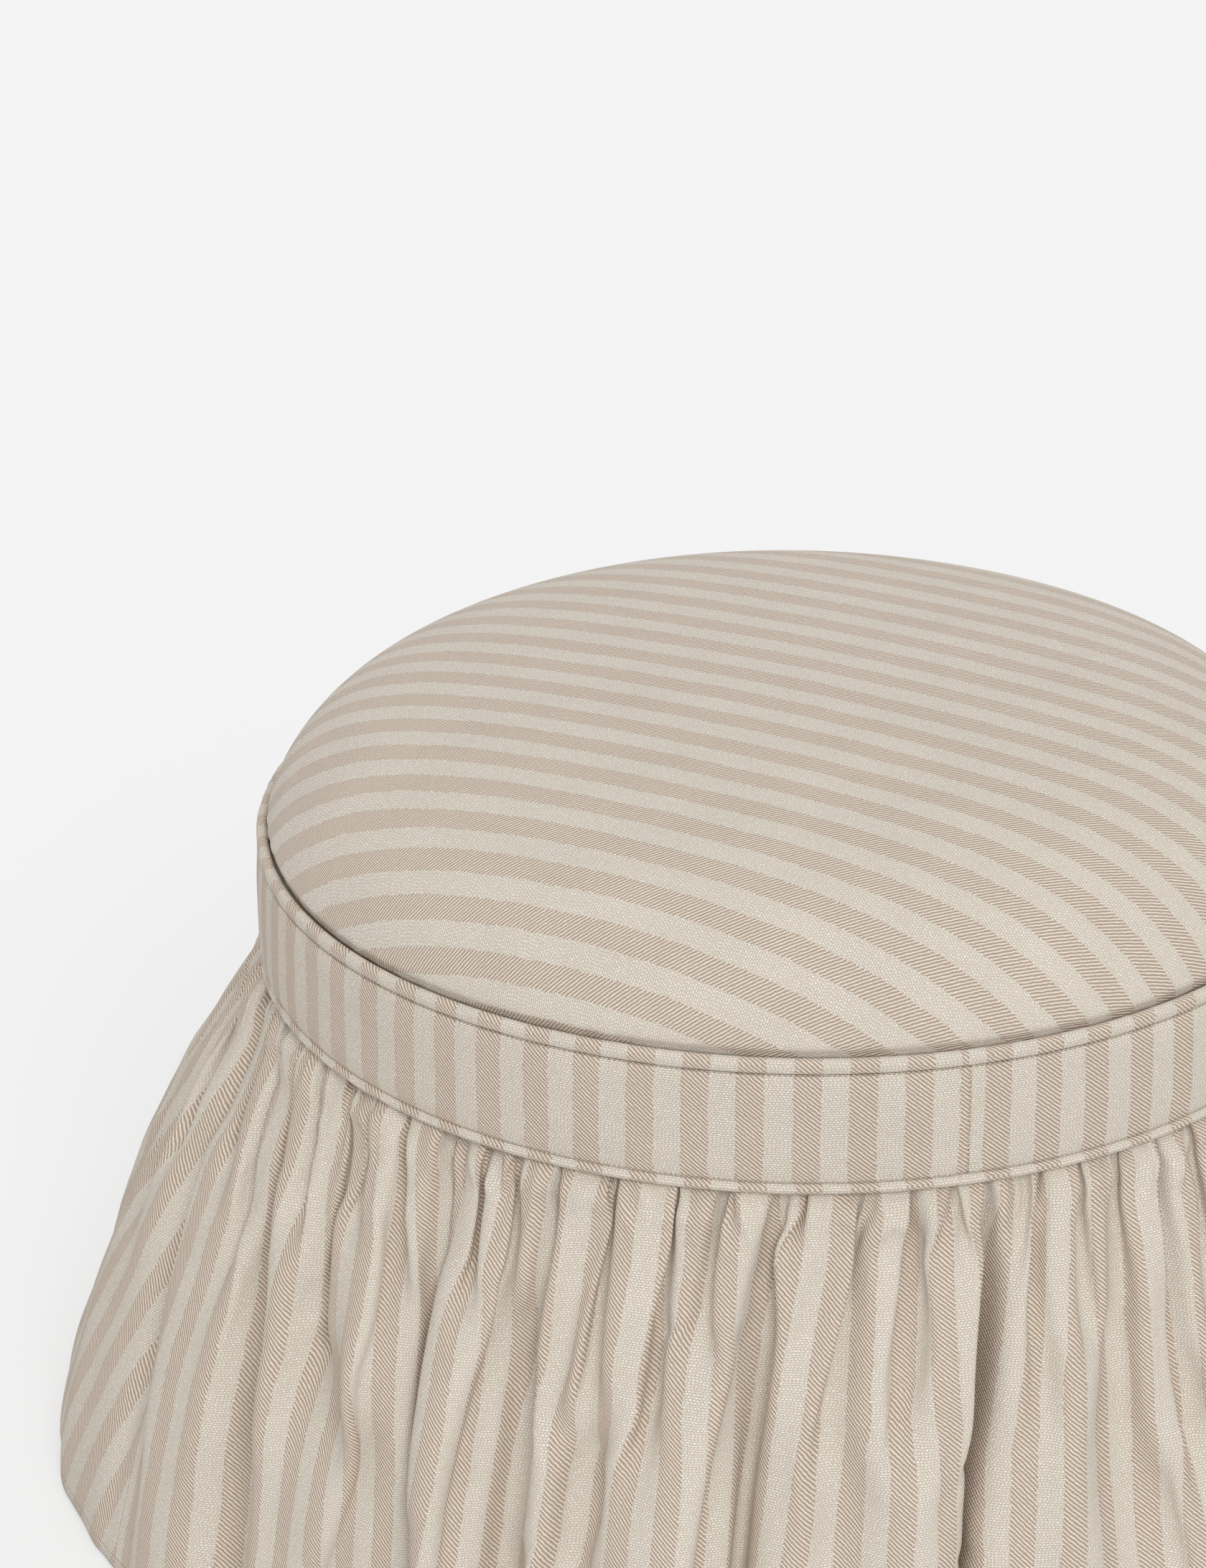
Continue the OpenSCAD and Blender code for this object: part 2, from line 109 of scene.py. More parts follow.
# %% Helper: a mesh over a grid of points
def skin(name, grid, cloth=None, loop_u=False, loop_v=False, fans=()):
    """A quad joins each point to its neighbours in both directions of the grid, and a loop
    joins the last line to the first. A fan closes the first or last line of the second
    direction round its mean point. The cloth array has one more line for each loop."""
    nu, nv = grid.shape[:2]
    cu, cv = nu if loop_u else nu - 1, nv if loop_v else nv - 1
    i, j = np.meshgrid(np.arange(cu), np.arange(cv), indexing="ij")
    i, j = i.ravel(), j.ravel()
    right, up = (i + 1) % nu, (j + 1) % nv
    quads = np.stack([i * nv + j, right * nv + j, right * nv + up, i * nv + up], 1)
    points = grid.reshape(-1, 3)
    loops, starts = quads.ravel(), np.arange(len(quads)) * 4
    if cloth is not None:
        uv = np.stack([cloth[i, j], cloth[i + 1, j], cloth[i + 1, j + 1], cloth[i, j + 1]], 1)
        uv = uv.reshape(-1, 2)
    for end in fans:
        line = 0 if end == "first" else nv - 1
        k = np.arange(cu)
        a, b = k * nv + line, ((k + 1) % nu) * nv + line
        middle = len(points)
        points = np.vstack([points, grid[:, line].mean(0)[None]])
        three = [b, a] if end == "first" else [a, b]
        fan = np.stack(three + [np.full(cu, middle)], 1)
        starts = np.concatenate([starts, len(loops) + np.arange(cu) * 3])
        loops = np.concatenate([loops, fan.ravel()])
        if cloth is not None:
            centre = np.repeat(cloth[:, line].mean(0)[None], cu, 0)
            ends = [cloth[k + 1, line], cloth[k, line]]
            ends = ends if end == "first" else ends[::-1]
            uv = np.vstack([uv, np.stack(ends + [centre], 1).reshape(-1, 2)])
    mesh = bpy.data.meshes.new(name)
    mesh.vertices.add(len(points))
    mesh.vertices.foreach_set("co", points.astype(np.float32).ravel())
    mesh.loops.add(len(loops))
    mesh.loops.foreach_set("vertex_index", loops.astype(np.int32))
    mesh.polygons.add(len(starts))
    mesh.polygons.foreach_set("loop_start", starts.astype(np.int32))
    if cloth is not None:
        layer = mesh.uv_layers.new(name="cloth")
        layer.data.foreach_set("uv", uv.astype(np.float32).ravel())
    mesh.update(calc_edges=True)
    mesh.validate()
    mesh.polygons.foreach_set("use_smooth", np.ones(len(mesh.polygons), bool))
    piece = bpy.data.objects.new(name, mesh)
    bpy.context.scene.collection.objects.link(piece)
    print(name, "has", len(points), "points and", len(mesh.polygons), "faces")
    return piece


# %% Helper: a profile turned round the axis
def lengths(points):
    """Distance along a line of points, from its first point, as a running sum of steps."""
    steps = np.linalg.norm(np.diff(points, axis=0), axis=-1)
    return np.concatenate([[0], np.cumsum(steps)])


def turned(name, profile, count=360, at=None, closed=True, bump=None, fans=(), first=0.0):
    """The profile's points (r, z) go round the axis: x = r cos a, y = r sin a, z = z. bump is
    a function of angle and profile length that gives small changes of r and z. The cloth's u
    is the angle times the seat's radius, and v the length along the profile."""
    angles = first + TURN * np.arange(count) / count if at is None else at
    profile = np.asarray(profile, float)
    ring = np.vstack([profile, profile[:1]]) if closed else profile
    along = lengths(ring)
    a, v = np.meshgrid(angles, along[:len(profile)], indexing="ij")
    r = np.repeat(profile[None, :, 0], len(angles), 0)
    z = np.repeat(profile[None, :, 1], len(angles), 0)
    if bump is not None:
        more_r, more_z = bump(a, v)
        r, z = r + more_r, z + more_z
    grid = np.stack([r * np.cos(a), r * np.sin(a), z], -1)
    ends = np.concatenate([angles, [angles[0] + TURN]])
    u, v = np.meshgrid(ends * SEAT_R, along, indexing="ij")
    return skin(name, grid, np.stack([u, v], -1), True, closed, fans)


def start_map(piece, angle):
    """Slides a turned piece's cloth map along the rim, so that u is zero at an angle: from
    each u it takes the angle times the seat's radius."""
    layer = piece.data.uv_layers["cloth"]
    uv = np.zeros(len(layer.data) * 2, np.float32)
    layer.data.foreach_get("uv", uv)
    uv[::2] -= angle * SEAT_R
    layer.data.foreach_set("uv", uv)


print("once round the seat:", round(TURN * SEAT_R, 3), "m of cloth")

# %% Helpers: soft noise and finishing
def waves(a, seed, low, high, count=9):
    """Sum of count cosines of whole numbers of waves a turn, from low to high, with seeded
    sizes and phases, over the root of the sum of the squared sizes: about one high."""
    rng = np.random.default_rng(seed)
    numbers = rng.integers(low, high + 1, count)
    phases = rng.uniform(0, TURN, count)
    sizes = rng.uniform(0.4, 1, count)
    total = sum(s * np.cos(n * a + p) for n, p, s in zip(numbers, phases, sizes))
    return total / math.sqrt((sizes ** 2).sum())


def thicken(piece, thickness):
    """Cloth thickness laid inside the outer face by a Solidify modifier."""
    solid = piece.modifiers.new("cloth thickness", "SOLIDIFY")
    solid.thickness = thickness
    solid.offset = -1
    solid.use_even_offset = False
    return piece


def dress(piece, body, slot, material, *nodes):
    """The piece takes the material as its finish, rides on a body, and stands for CAD nodes, which
    it hides. The slot is not used.
    """
    piece.data.materials.append(material)
    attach(piece, body)
    if nodes:
        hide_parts(*nodes)
    return piece


def arc_mm(degrees):
    """Length in millimetres of an arc of the rim: its angle times the seat's radius."""
    return math.radians(degrees) * SEAT_R / MM


print("one degree round the rim is", round(arc_mm(1), 2), "mm")

# %% [markdown]
# ## Node groups for the finishes
#
# A finish that more than one part uses is a node group: a box of nodes with named inputs and
# outputs. Each group puts out colours, masks or heights only, and the shader stays in the
# material. The little `Nodes` helper keeps the building of a tree short: it adds a node, sets
# its fixed values and wires its inputs in one call, so that `n.plus(a, b)` reads like a sum.

# %% Helper: building node trees
class Nodes:
    """Adds nodes to one tree and wires them."""

    def __init__(self, tree):
        """The tree may be a material's, a world's or a group's."""
        self.tree = tree

    def feed(self, sockets, inputs):
        """Wires each input that is another node's output, and sets each that is a value."""
        for key, value in inputs.items():
            if isinstance(value, bpy.types.NodeSocket):
                self.tree.links.new(value, sockets[key])
            else:
                sockets[key].default_value = value

    def add(self, kind, inputs=None, **settings):
        """A shader node of a kind, with its settings, and its inputs by name or number."""
        node = self.tree.nodes.new("ShaderNode" + kind)
        for key, value in settings.items():
            setattr(node, key, value)
        self.feed(node.inputs, inputs or {})
        return node

    def math(self, operation, a, b=0.0, c=0.0, clamp=False):
        """One sum on up to three values. Those that are used most have short names below."""
        inputs = {0: a, 1: b, 2: c}
        return self.add("Math", inputs, operation=operation, use_clamp=clamp).outputs[0]

    plus = partialmethod(math, "ADD")
    minus = partialmethod(math, "SUBTRACT")
    times = partialmethod(math, "MULTIPLY")
    over = partialmethod(math, "DIVIDE")
    times_plus = partialmethod(math, "MULTIPLY_ADD")

    def apart(self, a, b):
        """How far a and b are apart: the size of a - b."""
        return self.math("ABSOLUTE", self.minus(a, b))

    def ramp(self, value, low, high, to_low=0.0, to_high=1.0):
        """A smooth step of the value, from to_low at low to to_high at high."""
        inputs = {"Value": value, "From Min": low, "From Max": high, "To Min": to_low,
                  "To Max": to_high}
        return self.add("MapRange", inputs, interpolation_type="SMOOTHSTEP").outputs[0]

    def mix(self, share, a, b):
        """The colour a, with a share of the colour b."""
        return self.add("Mix", {0: share, 6: a, 7: b}, data_type="RGBA").outputs[2]

    def scaled(self, vector, factor):
        """A colour or a place times one factor."""
        inputs = {0: vector, "Scale": factor}
        return self.add("VectorMath", inputs, operation="SCALE").outputs[0]

    def stretch(self, vector, factors):
        """A place times its own factor along each axis."""
        return self.add("VectorMath", {0: vector, 1: factors}, operation="MULTIPLY").outputs[0]

    def axes(self, vector):
        """The parts of a place along X, Y and Z."""
        return self.add("SeparateXYZ", {0: vector}).outputs

    def noise(self, vector, scale, detail=2.0, roughness=0.5, dimensions="3D"):
        """Layered noise from nought to one, scale lumps to each unit of the vector."""
        inputs = {"Vector": vector, "Scale": scale, "Detail": detail, "Roughness": roughness}
        return self.add("TexNoise", inputs, noise_dimensions=dimensions).outputs["Fac"]

    def flat_noise(self, vector, scale, detail=2.0):
        """The same in two dimensions, for a cloth map."""
        return self.noise(vector, scale, detail, dimensions="2D")

    def chance(self, number):
        """A value between nought and one that is different for every number."""
        return self.add("TexWhiteNoise", {"W": number}, noise_dimensions="1D").outputs["Value"]

    def object_place(self):
        """The point's place on its object, in metres."""
        return self.add("TexCoord").outputs["Object"]

    def cloth_place(self):
        """The point's place on the piece's own cloth map, in metres."""
        return self.add("UVMap", uv_map="cloth").outputs[0]


def srgb(red, green, blue):
    """A colour given as 8-bit sRGB, turned into the linear values that nodes use."""
    c = np.array([red, green, blue]) / 255
    linear = np.where(c <= 0.04045, c / 12.92, ((c + 0.055) / 1.055) ** 2.4)
    return (*linear.tolist(), 1.0)


def group(name, inputs, outputs):
    """An empty node group with its sockets, given as (name, kind, start value)."""
    tree = bpy.data.node_groups.new(name, "ShaderNodeTree")
    for title, kind, value in inputs:
        socket = tree.interface.new_socket(title, in_out="INPUT", socket_type="NodeSocket" + kind)
        if value is not None:
            socket.default_value = value
    for title, kind in outputs:
        tree.interface.new_socket(title, in_out="OUTPUT", socket_type="NodeSocket" + kind)
    given = tree.nodes.new("NodeGroupInput").outputs
    out = tree.nodes.new("NodeGroupOutput").inputs
    return Nodes(tree), given, out


print("a mid grey as linear light:", round(srgb(128, 128, 128)[0], 3))

# %% [markdown]
# ## The striped cloth
#
# The cloth is woven in two weaves that take turns. The dark stripes are a twill: pale ribs
# cross a tan ground from upper left to lower right, about 1.7 mm apart, and every rib is a
# row of short floats. The light stripes are a crepe weave of short cream floats, laid like
# bricks with a random shift and tone. Where the weaves meet, each thread ends a little sooner
# or later than the next, so the edge is ragged. An image could give such a cloth too, but it
# would blur from near by and repeat from afar, so the yarns are worked out from the cloth
# map. The group reads that map in metres and puts out the colour and height of the yarns.

# %% Node group: where the stripes are
STRIPE = 26.88
THREAD_ROW = 0.8
n, given, out = group(
    "striped weave",
    [("Cloth", "Vector", None), ("Phase", "Float", 0.0)],
    [("Color", "Color"), ("Height", "Float"), ("Roughness", "Float")])
cloth_mm = n.scaled(given["Cloth"], 1000.0)
u, v = n.axes(cloth_mm)[:2]
ragged = n.chance(n.math("FLOOR", n.over(v, THREAD_ROW)))
drift = n.flat_noise(cloth_mm, 0.03, 1.0)
u_edge = n.plus(u, n.times(n.minus(ragged, 0.5), 0.9))
u_edge = n.plus(u_edge, n.times(n.minus(drift, 0.5), 1.6))
u_edge = n.minus(u_edge, given["Phase"])
stripe_turn = n.math("FRACT", n.plus(n.over(u_edge, STRIPE), 1000.0))
twill = n.ramp(n.apart(stripe_turn, 0.5), 0.243, 0.252, 1.0, 0.0)
print("a dark and a light stripe every", STRIPE, "mm")

# %% The twill of the dark stripes
RIB_ALONG, RIB_ACROSS = 2.25, 2.6
FLOAT_ALONG, FLOAT_ACROSS = 1.9, 1.5
rib_turn = n.plus(n.over(v, RIB_ALONG), n.over(u, RIB_ACROSS))
wander = n.flat_noise(cloth_mm, 0.35)
rib_turn = n.plus(rib_turn, n.times(n.minus(wander, 0.5), 0.45))
rib = n.math("COSINE", n.times(rib_turn, TURN))
float_turn = n.minus(n.over(u, FLOAT_ACROSS), n.over(v, FLOAT_ALONG))
bead = n.math("COSINE", n.times(float_turn, TURN))
rib_high = n.ramp(n.times_plus(bead, 0.45, rib), -0.75, 0.75)
print("ribs", round(1 / math.hypot(1 / RIB_ALONG, 1 / RIB_ACROSS), 2), "mm apart")

# %% The crepe of the light stripes
CREPE_ROW, CREPE_FLOAT = 1.22, 1.9
row = n.times_plus(n.flat_noise(cloth_mm, 0.45), 0.7, n.over(v, CREPE_ROW))
row_number = n.math("FLOOR", row)
column = n.plus(n.over(u, CREPE_FLOAT), n.times(row_number, 0.5))
column = n.times_plus(n.chance(row_number), 0.45, column)
column = n.times_plus(n.flat_noise(cloth_mm, 0.8, 1.0), 0.5, column)
cell = n.add("CombineXYZ", {0: n.math("FLOOR", column), 1: row_number}).outputs[0]
block_tone = n.add("TexWhiteNoise", {"Vector": cell}, noise_dimensions="2D").outputs["Value"]
along = n.apart(n.math("FRACT", column), 0.5)
across = n.apart(n.math("FRACT", row), 0.5)
crepe = n.times(n.ramp(along, 0.5, 0.3), n.ramp(across, 0.52, 0.2))
lit_block = n.times(crepe, n.times_plus(block_tone, 0.5, 0.5))
print("floats of", CREPE_FLOAT, "by", CREPE_ROW, "mm")

# %% Colours and height of the yarns
CREPE_GAP, CREPE_CREAM = srgb(200, 187, 172), srgb(242, 236, 226)
TWILL_TAN, TWILL_RIB = srgb(175, 155, 137), srgb(237, 225, 210)
FLECK_TAN = srgb(214, 198, 172)
thread = n.flat_noise(n.stretch(cloth_mm, (0.5, 3.6, 1.0)), 1.0)
fleck = n.ramp(n.flat_noise(n.stretch(cloth_mm, (0.16, 0.9, 1.0)), 1.0), 0.58, 0.76)
mottle = n.flat_noise(cloth_mm, 0.022, 3.0)
light = n.mix(lit_block, CREPE_GAP, CREPE_CREAM)
light = n.mix(n.times(fleck, 0.45), light, FLECK_TAN)
light = n.scaled(light, n.times_plus(thread, 0.20, 0.92))
dark = n.mix(rib_high, TWILL_TAN, TWILL_RIB)
dark = n.scaled(dark, n.times_plus(thread, 0.24, 0.88))
woven = n.scaled(n.mix(twill, light, dark), n.times_plus(mottle, 0.09, 0.955))
crepe_high = n.times_plus(thread, 0.3, n.times(lit_block, 0.7))
twill_high = n.times_plus(rib_high, 0.9, 0.05)
yarn_high = n.plus(n.times(n.minus(1.0, twill), crepe_high), n.times(twill, twill_high))
n.feed(out, {"Color": woven, "Height": yarn_high,
             "Roughness": n.times_plus(twill, -0.06, 0.86)})
STRIPED_WEAVE = n.tree
print("striped weave:", len(n.tree.nodes), "nodes")

# %% [markdown]
# ## Materials
#
# A material holds one shader and places a group in front of it. `relief` turns a height into
# a tilt of the surface, which is enough for yarns a few tenths of a millimetre high. The
# striped cloth also gets what sewing does to it: tiny gathers beside a seam, drawn by the
# stitches, and the stitches themselves where they show. On the band's seams, beside the
# piping and at its upright seam, the stitches' dark brown also paints the shade in the seams.

# %% Helpers: a material round a finish
def material(name, **fixed):
    """A material with one Principled shader, whose fixed values are set on its sockets."""
    made = bpy.data.materials.new(name)
    made.use_nodes = True
    n = Nodes(made.node_tree)
    shader = made.node_tree.nodes["Principled BSDF"].inputs
    n.feed(shader, {key.replace("_", " "): value for key, value in fixed.items()})
    return made, n, shader


def place(n, tree, **inputs):
    """Puts a node group in a tree and sets or wires its inputs."""
    node = n.tree.nodes.new("ShaderNodeGroup")
    node.node_tree = tree
    n.feed(node.inputs, inputs)
    return node.outputs


def relief(n, shader, height, distance, strength=1.0):
    """Feeds a height through a Bump node to the shader's normal."""
    bump = n.add("Bump", {"Height": height, "Distance": distance, "Strength": strength})
    n.feed(shader, {"Normal": bump.outputs[0]})


print("material helpers ready")

# %% Helper: striped cloth
STITCH, GATHER = 2.6 * MM, 4.6 * MM
# Dark brown of the dashed stitch lines: the thread's colour, and on the band's seams also painted
# shade in the seam
THREAD_AND_SEAM_SHADE = srgb(120, 98, 78)


def striped_cloth(name, phase=0.0, pucker=(), stitch_and_shade_lines=(), upright=None, sheen=0.03):
    """Striped cloth on a piece's own cloth map. pucker gives the two seam lines, as lengths
    along v, beside which the stitches draw the cloth into tiny gathers. stitch_and_shade_lines
    gives the lengths along v of dark brown dashed lines, and upright the length along u. They
    are stitches that show, and on the band's seams their dark brown also paints the shade in
    the seam."""
    made, n, shader = material(name, Sheen_Weight=sheen, Sheen_Roughness=0.5,
                               Specular_IOR_Level=0.2)
    cloth = n.cloth_place()
    weave = place(n, STRIPED_WEAVE, Cloth=cloth, Phase=phase)
    colour, height = weave["Color"], weave["Height"]
    u, v = n.axes(cloth)[:2]
    if pucker:
        beside = n.plus(*[n.ramp(n.apart(v, line), 0.0, 6 * MM, 1.0, 0.0) for line in pucker])
        turn = n.times_plus(n.flat_noise(cloth, 130.0), 9.0, n.times(u, TURN / GATHER))
        gather = n.times(n.math("SINE", turn), beside)
        height = n.times_plus(gather, 0.55, height)
    # Dashed dark brown lines: stitches, which along the band's seams also paint the shade in the
    # seam
    thread_and_shade_lines = [(v, u, line) for line in stitch_and_shade_lines]
    thread_and_shade_lines += [(u, v, upright)] if upright else []
    for across, along, line in thread_and_shade_lines:
        near = n.ramp(n.apart(across, line), 0.42 * MM, 0.15 * MM)
        dash = n.ramp(n.math("SINE", n.times(along, TURN / STITCH)), -0.8, 0.0)
        colour = n.mix(n.times(n.times(near, dash), 0.6), colour, THREAD_AND_SEAM_SHADE)
    n.feed(shader, {"Base Color": colour, "Roughness": weave["Roughness"]})
    relief(n, shader, height, 0.5 * MM, 0.9)
    return made


cushion_cloth = striped_cloth("cushion_cloth", sheen=0.12)
print("striped cloth on the cushion:", len(cushion_cloth.node_tree.nodes), "nodes")

# %% [markdown]
# ## Plain cloths, padding and card
#
# The inside of the well is lined with plain cotton, and black dust cloth closes the underside
# of the lid and of the drum. One group draws a plain weave: two crossing sets of yarns,
# each a little uneven. Wadding, foam and card need a loose fleck instead, from layered noise.

# %% Node group: plain weave
n, given, out = group(
    "plain weave",
    [("Place", "Vector", None), ("Pitch", "Float", 0.6), ("Yarn", "Color", (0.8, 0.78, 0.7, 1)),
     ("Gap", "Color", (0.5, 0.48, 0.42, 1))],
    [("Color", "Color"), ("Height", "Float")])
mm = n.scaled(given["Place"], 1000.0)
pitches = n.add("VectorMath", {0: mm, 1: given["Pitch"]}, operation="DIVIDE").outputs[0]
x, y = n.axes(pitches)[:2]
warp, weft = n.math("SINE", n.times(x, math.pi)), n.math("SINE", n.times(y, math.pi))
over = n.times_plus(n.times(warp, weft), 0.5, 0.5)
slub = n.noise(mm, 0.9, 3.0)
cover = n.math("MULTIPLY_ADD", n.minus(slub, 0.5), 0.9, over, clamp=True)
n.feed(out, {"Color": n.mix(cover, given["Gap"], given["Yarn"]), "Height": cover})
PLAIN_WEAVE = n.tree
print("plain weave:", len(n.tree.nodes), "nodes")

# %% Node group: fleck
n, given, out = group(
    "fleck",
    [("Place", "Vector", None), ("Size", "Float", 3.0), ("Pale", "Color", (0.8, 0.8, 0.8, 1)),
     ("Deep", "Color", (0.5, 0.5, 0.5, 1))],
    [("Color", "Color"), ("Height", "Float")])
per_metre = n.over(1000.0, given["Size"])
coarse = n.noise(given["Place"], per_metre, 6.0, 0.65)
fine = n.noise(given["Place"], n.times(per_metre, 5.0), 3.0, 0.6)
both = n.times_plus(fine, 0.4, n.times(coarse, 0.6))
n.feed(out, {"Color": n.mix(n.ramp(both, 0.36, 0.62), given["Deep"], given["Pale"]),
             "Height": both})
FLECK = n.tree
print("fleck:", len(n.tree.nodes), "nodes")


# %% Materials: plain cloths, padding and card
def soft_stuff(name, tree, on_map, height, rough, **values):
    """Colour and relief from a group, on the cloth map or on Object coordinates."""
    made, n, shader = material(name, Roughness=rough, Specular_IOR_Level=0.2)
    where = n.cloth_place() if on_map else n.object_place()
    stuff = place(n, tree, Place=where, **values)
    n.feed(shader, {"Base Color": stuff["Color"]})
    relief(n, shader, stuff["Height"], height)
    return made


def plain_cloth(name, yarn, gap, pitch, rough=0.9, on_map=True):
    """Plain woven cloth with a yarn to each pitch in millimetres, both ways."""
    return soft_stuff(name, PLAIN_WEAVE, on_map, 0.12 * MM, rough, Pitch=pitch, Yarn=yarn,
                      Gap=gap)


def flecked(name, pale, deep, size, height):
    """A loose or felted stuff with lumps of a size in millimetres."""
    return soft_stuff(name, FLECK, False, height, 0.9, Size=size, Pale=pale, Deep=deep)


COTTON = (srgb(229, 220, 203), srgb(192, 180, 160), 0.7)
lining_cotton = plain_cloth("lining_cotton", *COTTON)
cotton_round = plain_cloth("lining_cotton_round", *COTTON, on_map=False)
dust_round = plain_cloth("dust_cloth_round", srgb(52, 51, 52), srgb(22, 22, 24), 1.1, 0.95, False)
wadding = flecked("wadding", srgb(243, 241, 236), srgb(215, 212, 205), 4.0, 1.2 * MM)
foam = flecked("foam", srgb(238, 224, 178), srgb(205, 186, 136), 1.4, 0.5 * MM)
liner_card = flecked("liner_card", srgb(187, 166, 133), srgb(150, 128, 97), 1.8, 0.08 * MM)
cord_cotton = flecked("cord_cotton", srgb(235, 230, 218), srgb(196, 188, 170), 1.0, 0.3 * MM)
print("cloths:", lining_cotton.name, dust_round.name, wadding.name, foam.name)

# %% [markdown]
# ## Wood, steel and plastic
#
# The panels are birch plywood, the uprights and cleats are pine, and the drum's wall is thin
# bendable plywood whose grain stands upright. Wood grain is a noise drawn out along the
# grain, with rings that wander. Screws, nails and staples are zinc-plated steel, which is
# bright with fine scratches and a faint mottle. The glides are moulded plastic.

# %% Node group: wood grain
n, given, out = group(
    "wood grain",
    [("Place", "Vector", None), ("Ring", "Float", 7.0), ("Pale", "Color", (0.7, 0.5, 0.3, 1)),
     ("Deep", "Color", (0.5, 0.3, 0.15, 1))],
    [("Color", "Color"), ("Height", "Float"), ("Roughness", "Float")])
mm = n.scaled(given["Place"], 1000.0)
bend = n.noise(n.stretch(mm, (0.02, 0.22, 0.22)), 0.35, 3.0)
ring_turn = n.times_plus(bend, 5.0, n.over(n.axes(mm)[1], given["Ring"]))
rings = n.times_plus(n.math("SINE", n.times(ring_turn, TURN)), 0.5, 0.5)
fibre = n.noise(n.stretch(mm, (0.06, 2.4, 2.4)), 1.0, 3.0, 0.6)
grain = n.times_plus(fibre, 0.55, n.times(rings, 0.45))
n.feed(out, {"Color": n.mix(n.ramp(grain, 0.2, 0.8), given["Pale"], given["Deep"]),
             "Height": fibre, "Roughness": n.times_plus(fibre, 0.2, 0.5)})
WOOD_GRAIN = n.tree
print("wood grain:", len(n.tree.nodes), "nodes")

# %% Materials: wood
PLY = 2.8 * MM


def wood(name, pale, deep, ring, upright=False, plies=False):
    """Grain along X, or upright on a bent wall. On a panel's edge, bands of dark and pale
    follow the height, one for each ply."""
    made, n, shader = material(name)
    where = n.object_place()
    x, y, z = n.axes(where)
    if upright:
        round_wall = n.times(n.math("ARCTAN2", y, x), WALL_R)
        where = n.add("CombineXYZ", {0: z, 1: round_wall, 2: 0.0}).outputs[0]
    grain = place(n, WOOD_GRAIN, Place=where, Ring=ring, Pale=pale, Deep=deep)
    colour = grain["Color"]
    if plies:
        facing = n.axes(n.add("NewGeometry").outputs["Normal"])[2]
        edge = n.ramp(n.math("ABSOLUTE", facing), 0.7, 0.2)
        ply = n.math("SINE", n.times(z, TURN / PLY))
        colour = n.scaled(colour, n.times_plus(n.times(ply, edge), 0.16, 1.0))
    n.feed(shader, {"Base Color": colour, "Roughness": grain["Roughness"]})
    relief(n, shader, grain["Height"], 0.15 * MM)
    return made


plywood = wood("plywood", srgb(222, 193, 150), srgb(186, 148, 100), 16.0, plies=True)
bent_ply = wood("bent_ply", srgb(206, 170, 122), srgb(168, 126, 80), 11.0, upright=True)
pine = wood("pine", srgb(233, 205, 158), srgb(203, 158, 100), 9.0)
print("woods:", plywood.name, bent_ply.name, pine.name)

# %% Materials: steel and plastic
zinc_steel, n, shader = material("zinc_steel", Metallic=1.0)
where = n.object_place()
scratch = n.noise(n.stretch(where, (900.0, 900.0, 5000.0)), 1.0, 3.0)
spangle = n.noise(where, 700.0)
n.feed(shader, {"Base Color": n.mix(spangle, srgb(176, 178, 180), srgb(212, 213, 214)),
                "Roughness": n.ramp(scratch, 0.3, 0.7, 0.26, 0.42)})
relief(n, shader, scratch, 0.02 * MM)

glide_plastic, n, shader = material("glide_plastic")
where = n.object_place()
speck = n.noise(where, 2600.0)
scuff = n.ramp(n.noise(where, 160.0, 4.0, 0.7), 0.5, 0.75)
n.feed(shader, {"Base Color": n.mix(scuff, srgb(46, 44, 42), srgb(88, 85, 80)),
                "Roughness": n.ramp(speck, 0.3, 0.7, 0.45, 0.6)})
relief(n, shader, speck, 0.05 * MM)
print("steel and plastic:", zinc_steel.name, glide_plastic.name)

# %% [markdown]
# ## Hard parts keep their solids
#
# The boards, uprights, wall, screws and glides are already the right shape, so the packed
# solids stay and only get their finishes.

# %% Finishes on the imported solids
HARD = {
    plywood: ["bottom_panel", "top_ring", "lid_panel", "storage_floor_board"],
    bent_ply: ["wall_left", "wall_right"],
    pine: ["uprights", "lid_cleats"],
    liner_card: ["storage_liner_card", "tack_strip"],
    zinc_steel: ["glide_screws", "base_dust_staples", "bottom_screws", "ring_screws",
                 "wall_nails", "tack_staples", "lid_cover_staples", "lid_dust_staples",
                 "cleat_screws"],
    glide_plastic: ["glides"],
}
for finish, names in HARD.items():
    for name in names:
        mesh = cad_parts[name].data
        mesh.materials.clear()
        mesh.materials.append(finish)
print("hard parts:", sum(len(names) for names in HARD.values()))

# %% [markdown]
# ## The cushioned lid
#
# The lid is a plywood disc with a foam block on it, wrapped in wadding and then in the
# striped cloth, which is drawn down over the edge and stapled underneath. Its top is nearly
# flat, its shoulder is a round roll, and its side draws in above the piping.
#
# The cushion's profile is the frame's: two powers of the distance from the middle. The cloth
# is one flat round piece, so its map unrolls from the middle outwards: a point keeps its
# direction and its distance along the cloth, which makes the stripes straight from above and
# lets them bend down over the shoulder as the real ones do.

# %% Profile of the cushion
STRIPE_TURN = math.radians(-28)


def cushion_height(s):
    """Height above the widest line: 18 (1 - s^1.9) + 62 (1 - s^7.3)^0.653 millimetres."""
    return (18 * (1 - s ** 1.9) + 62 * np.clip(1 - s ** 7.3, 0, None) ** 0.653) * MM


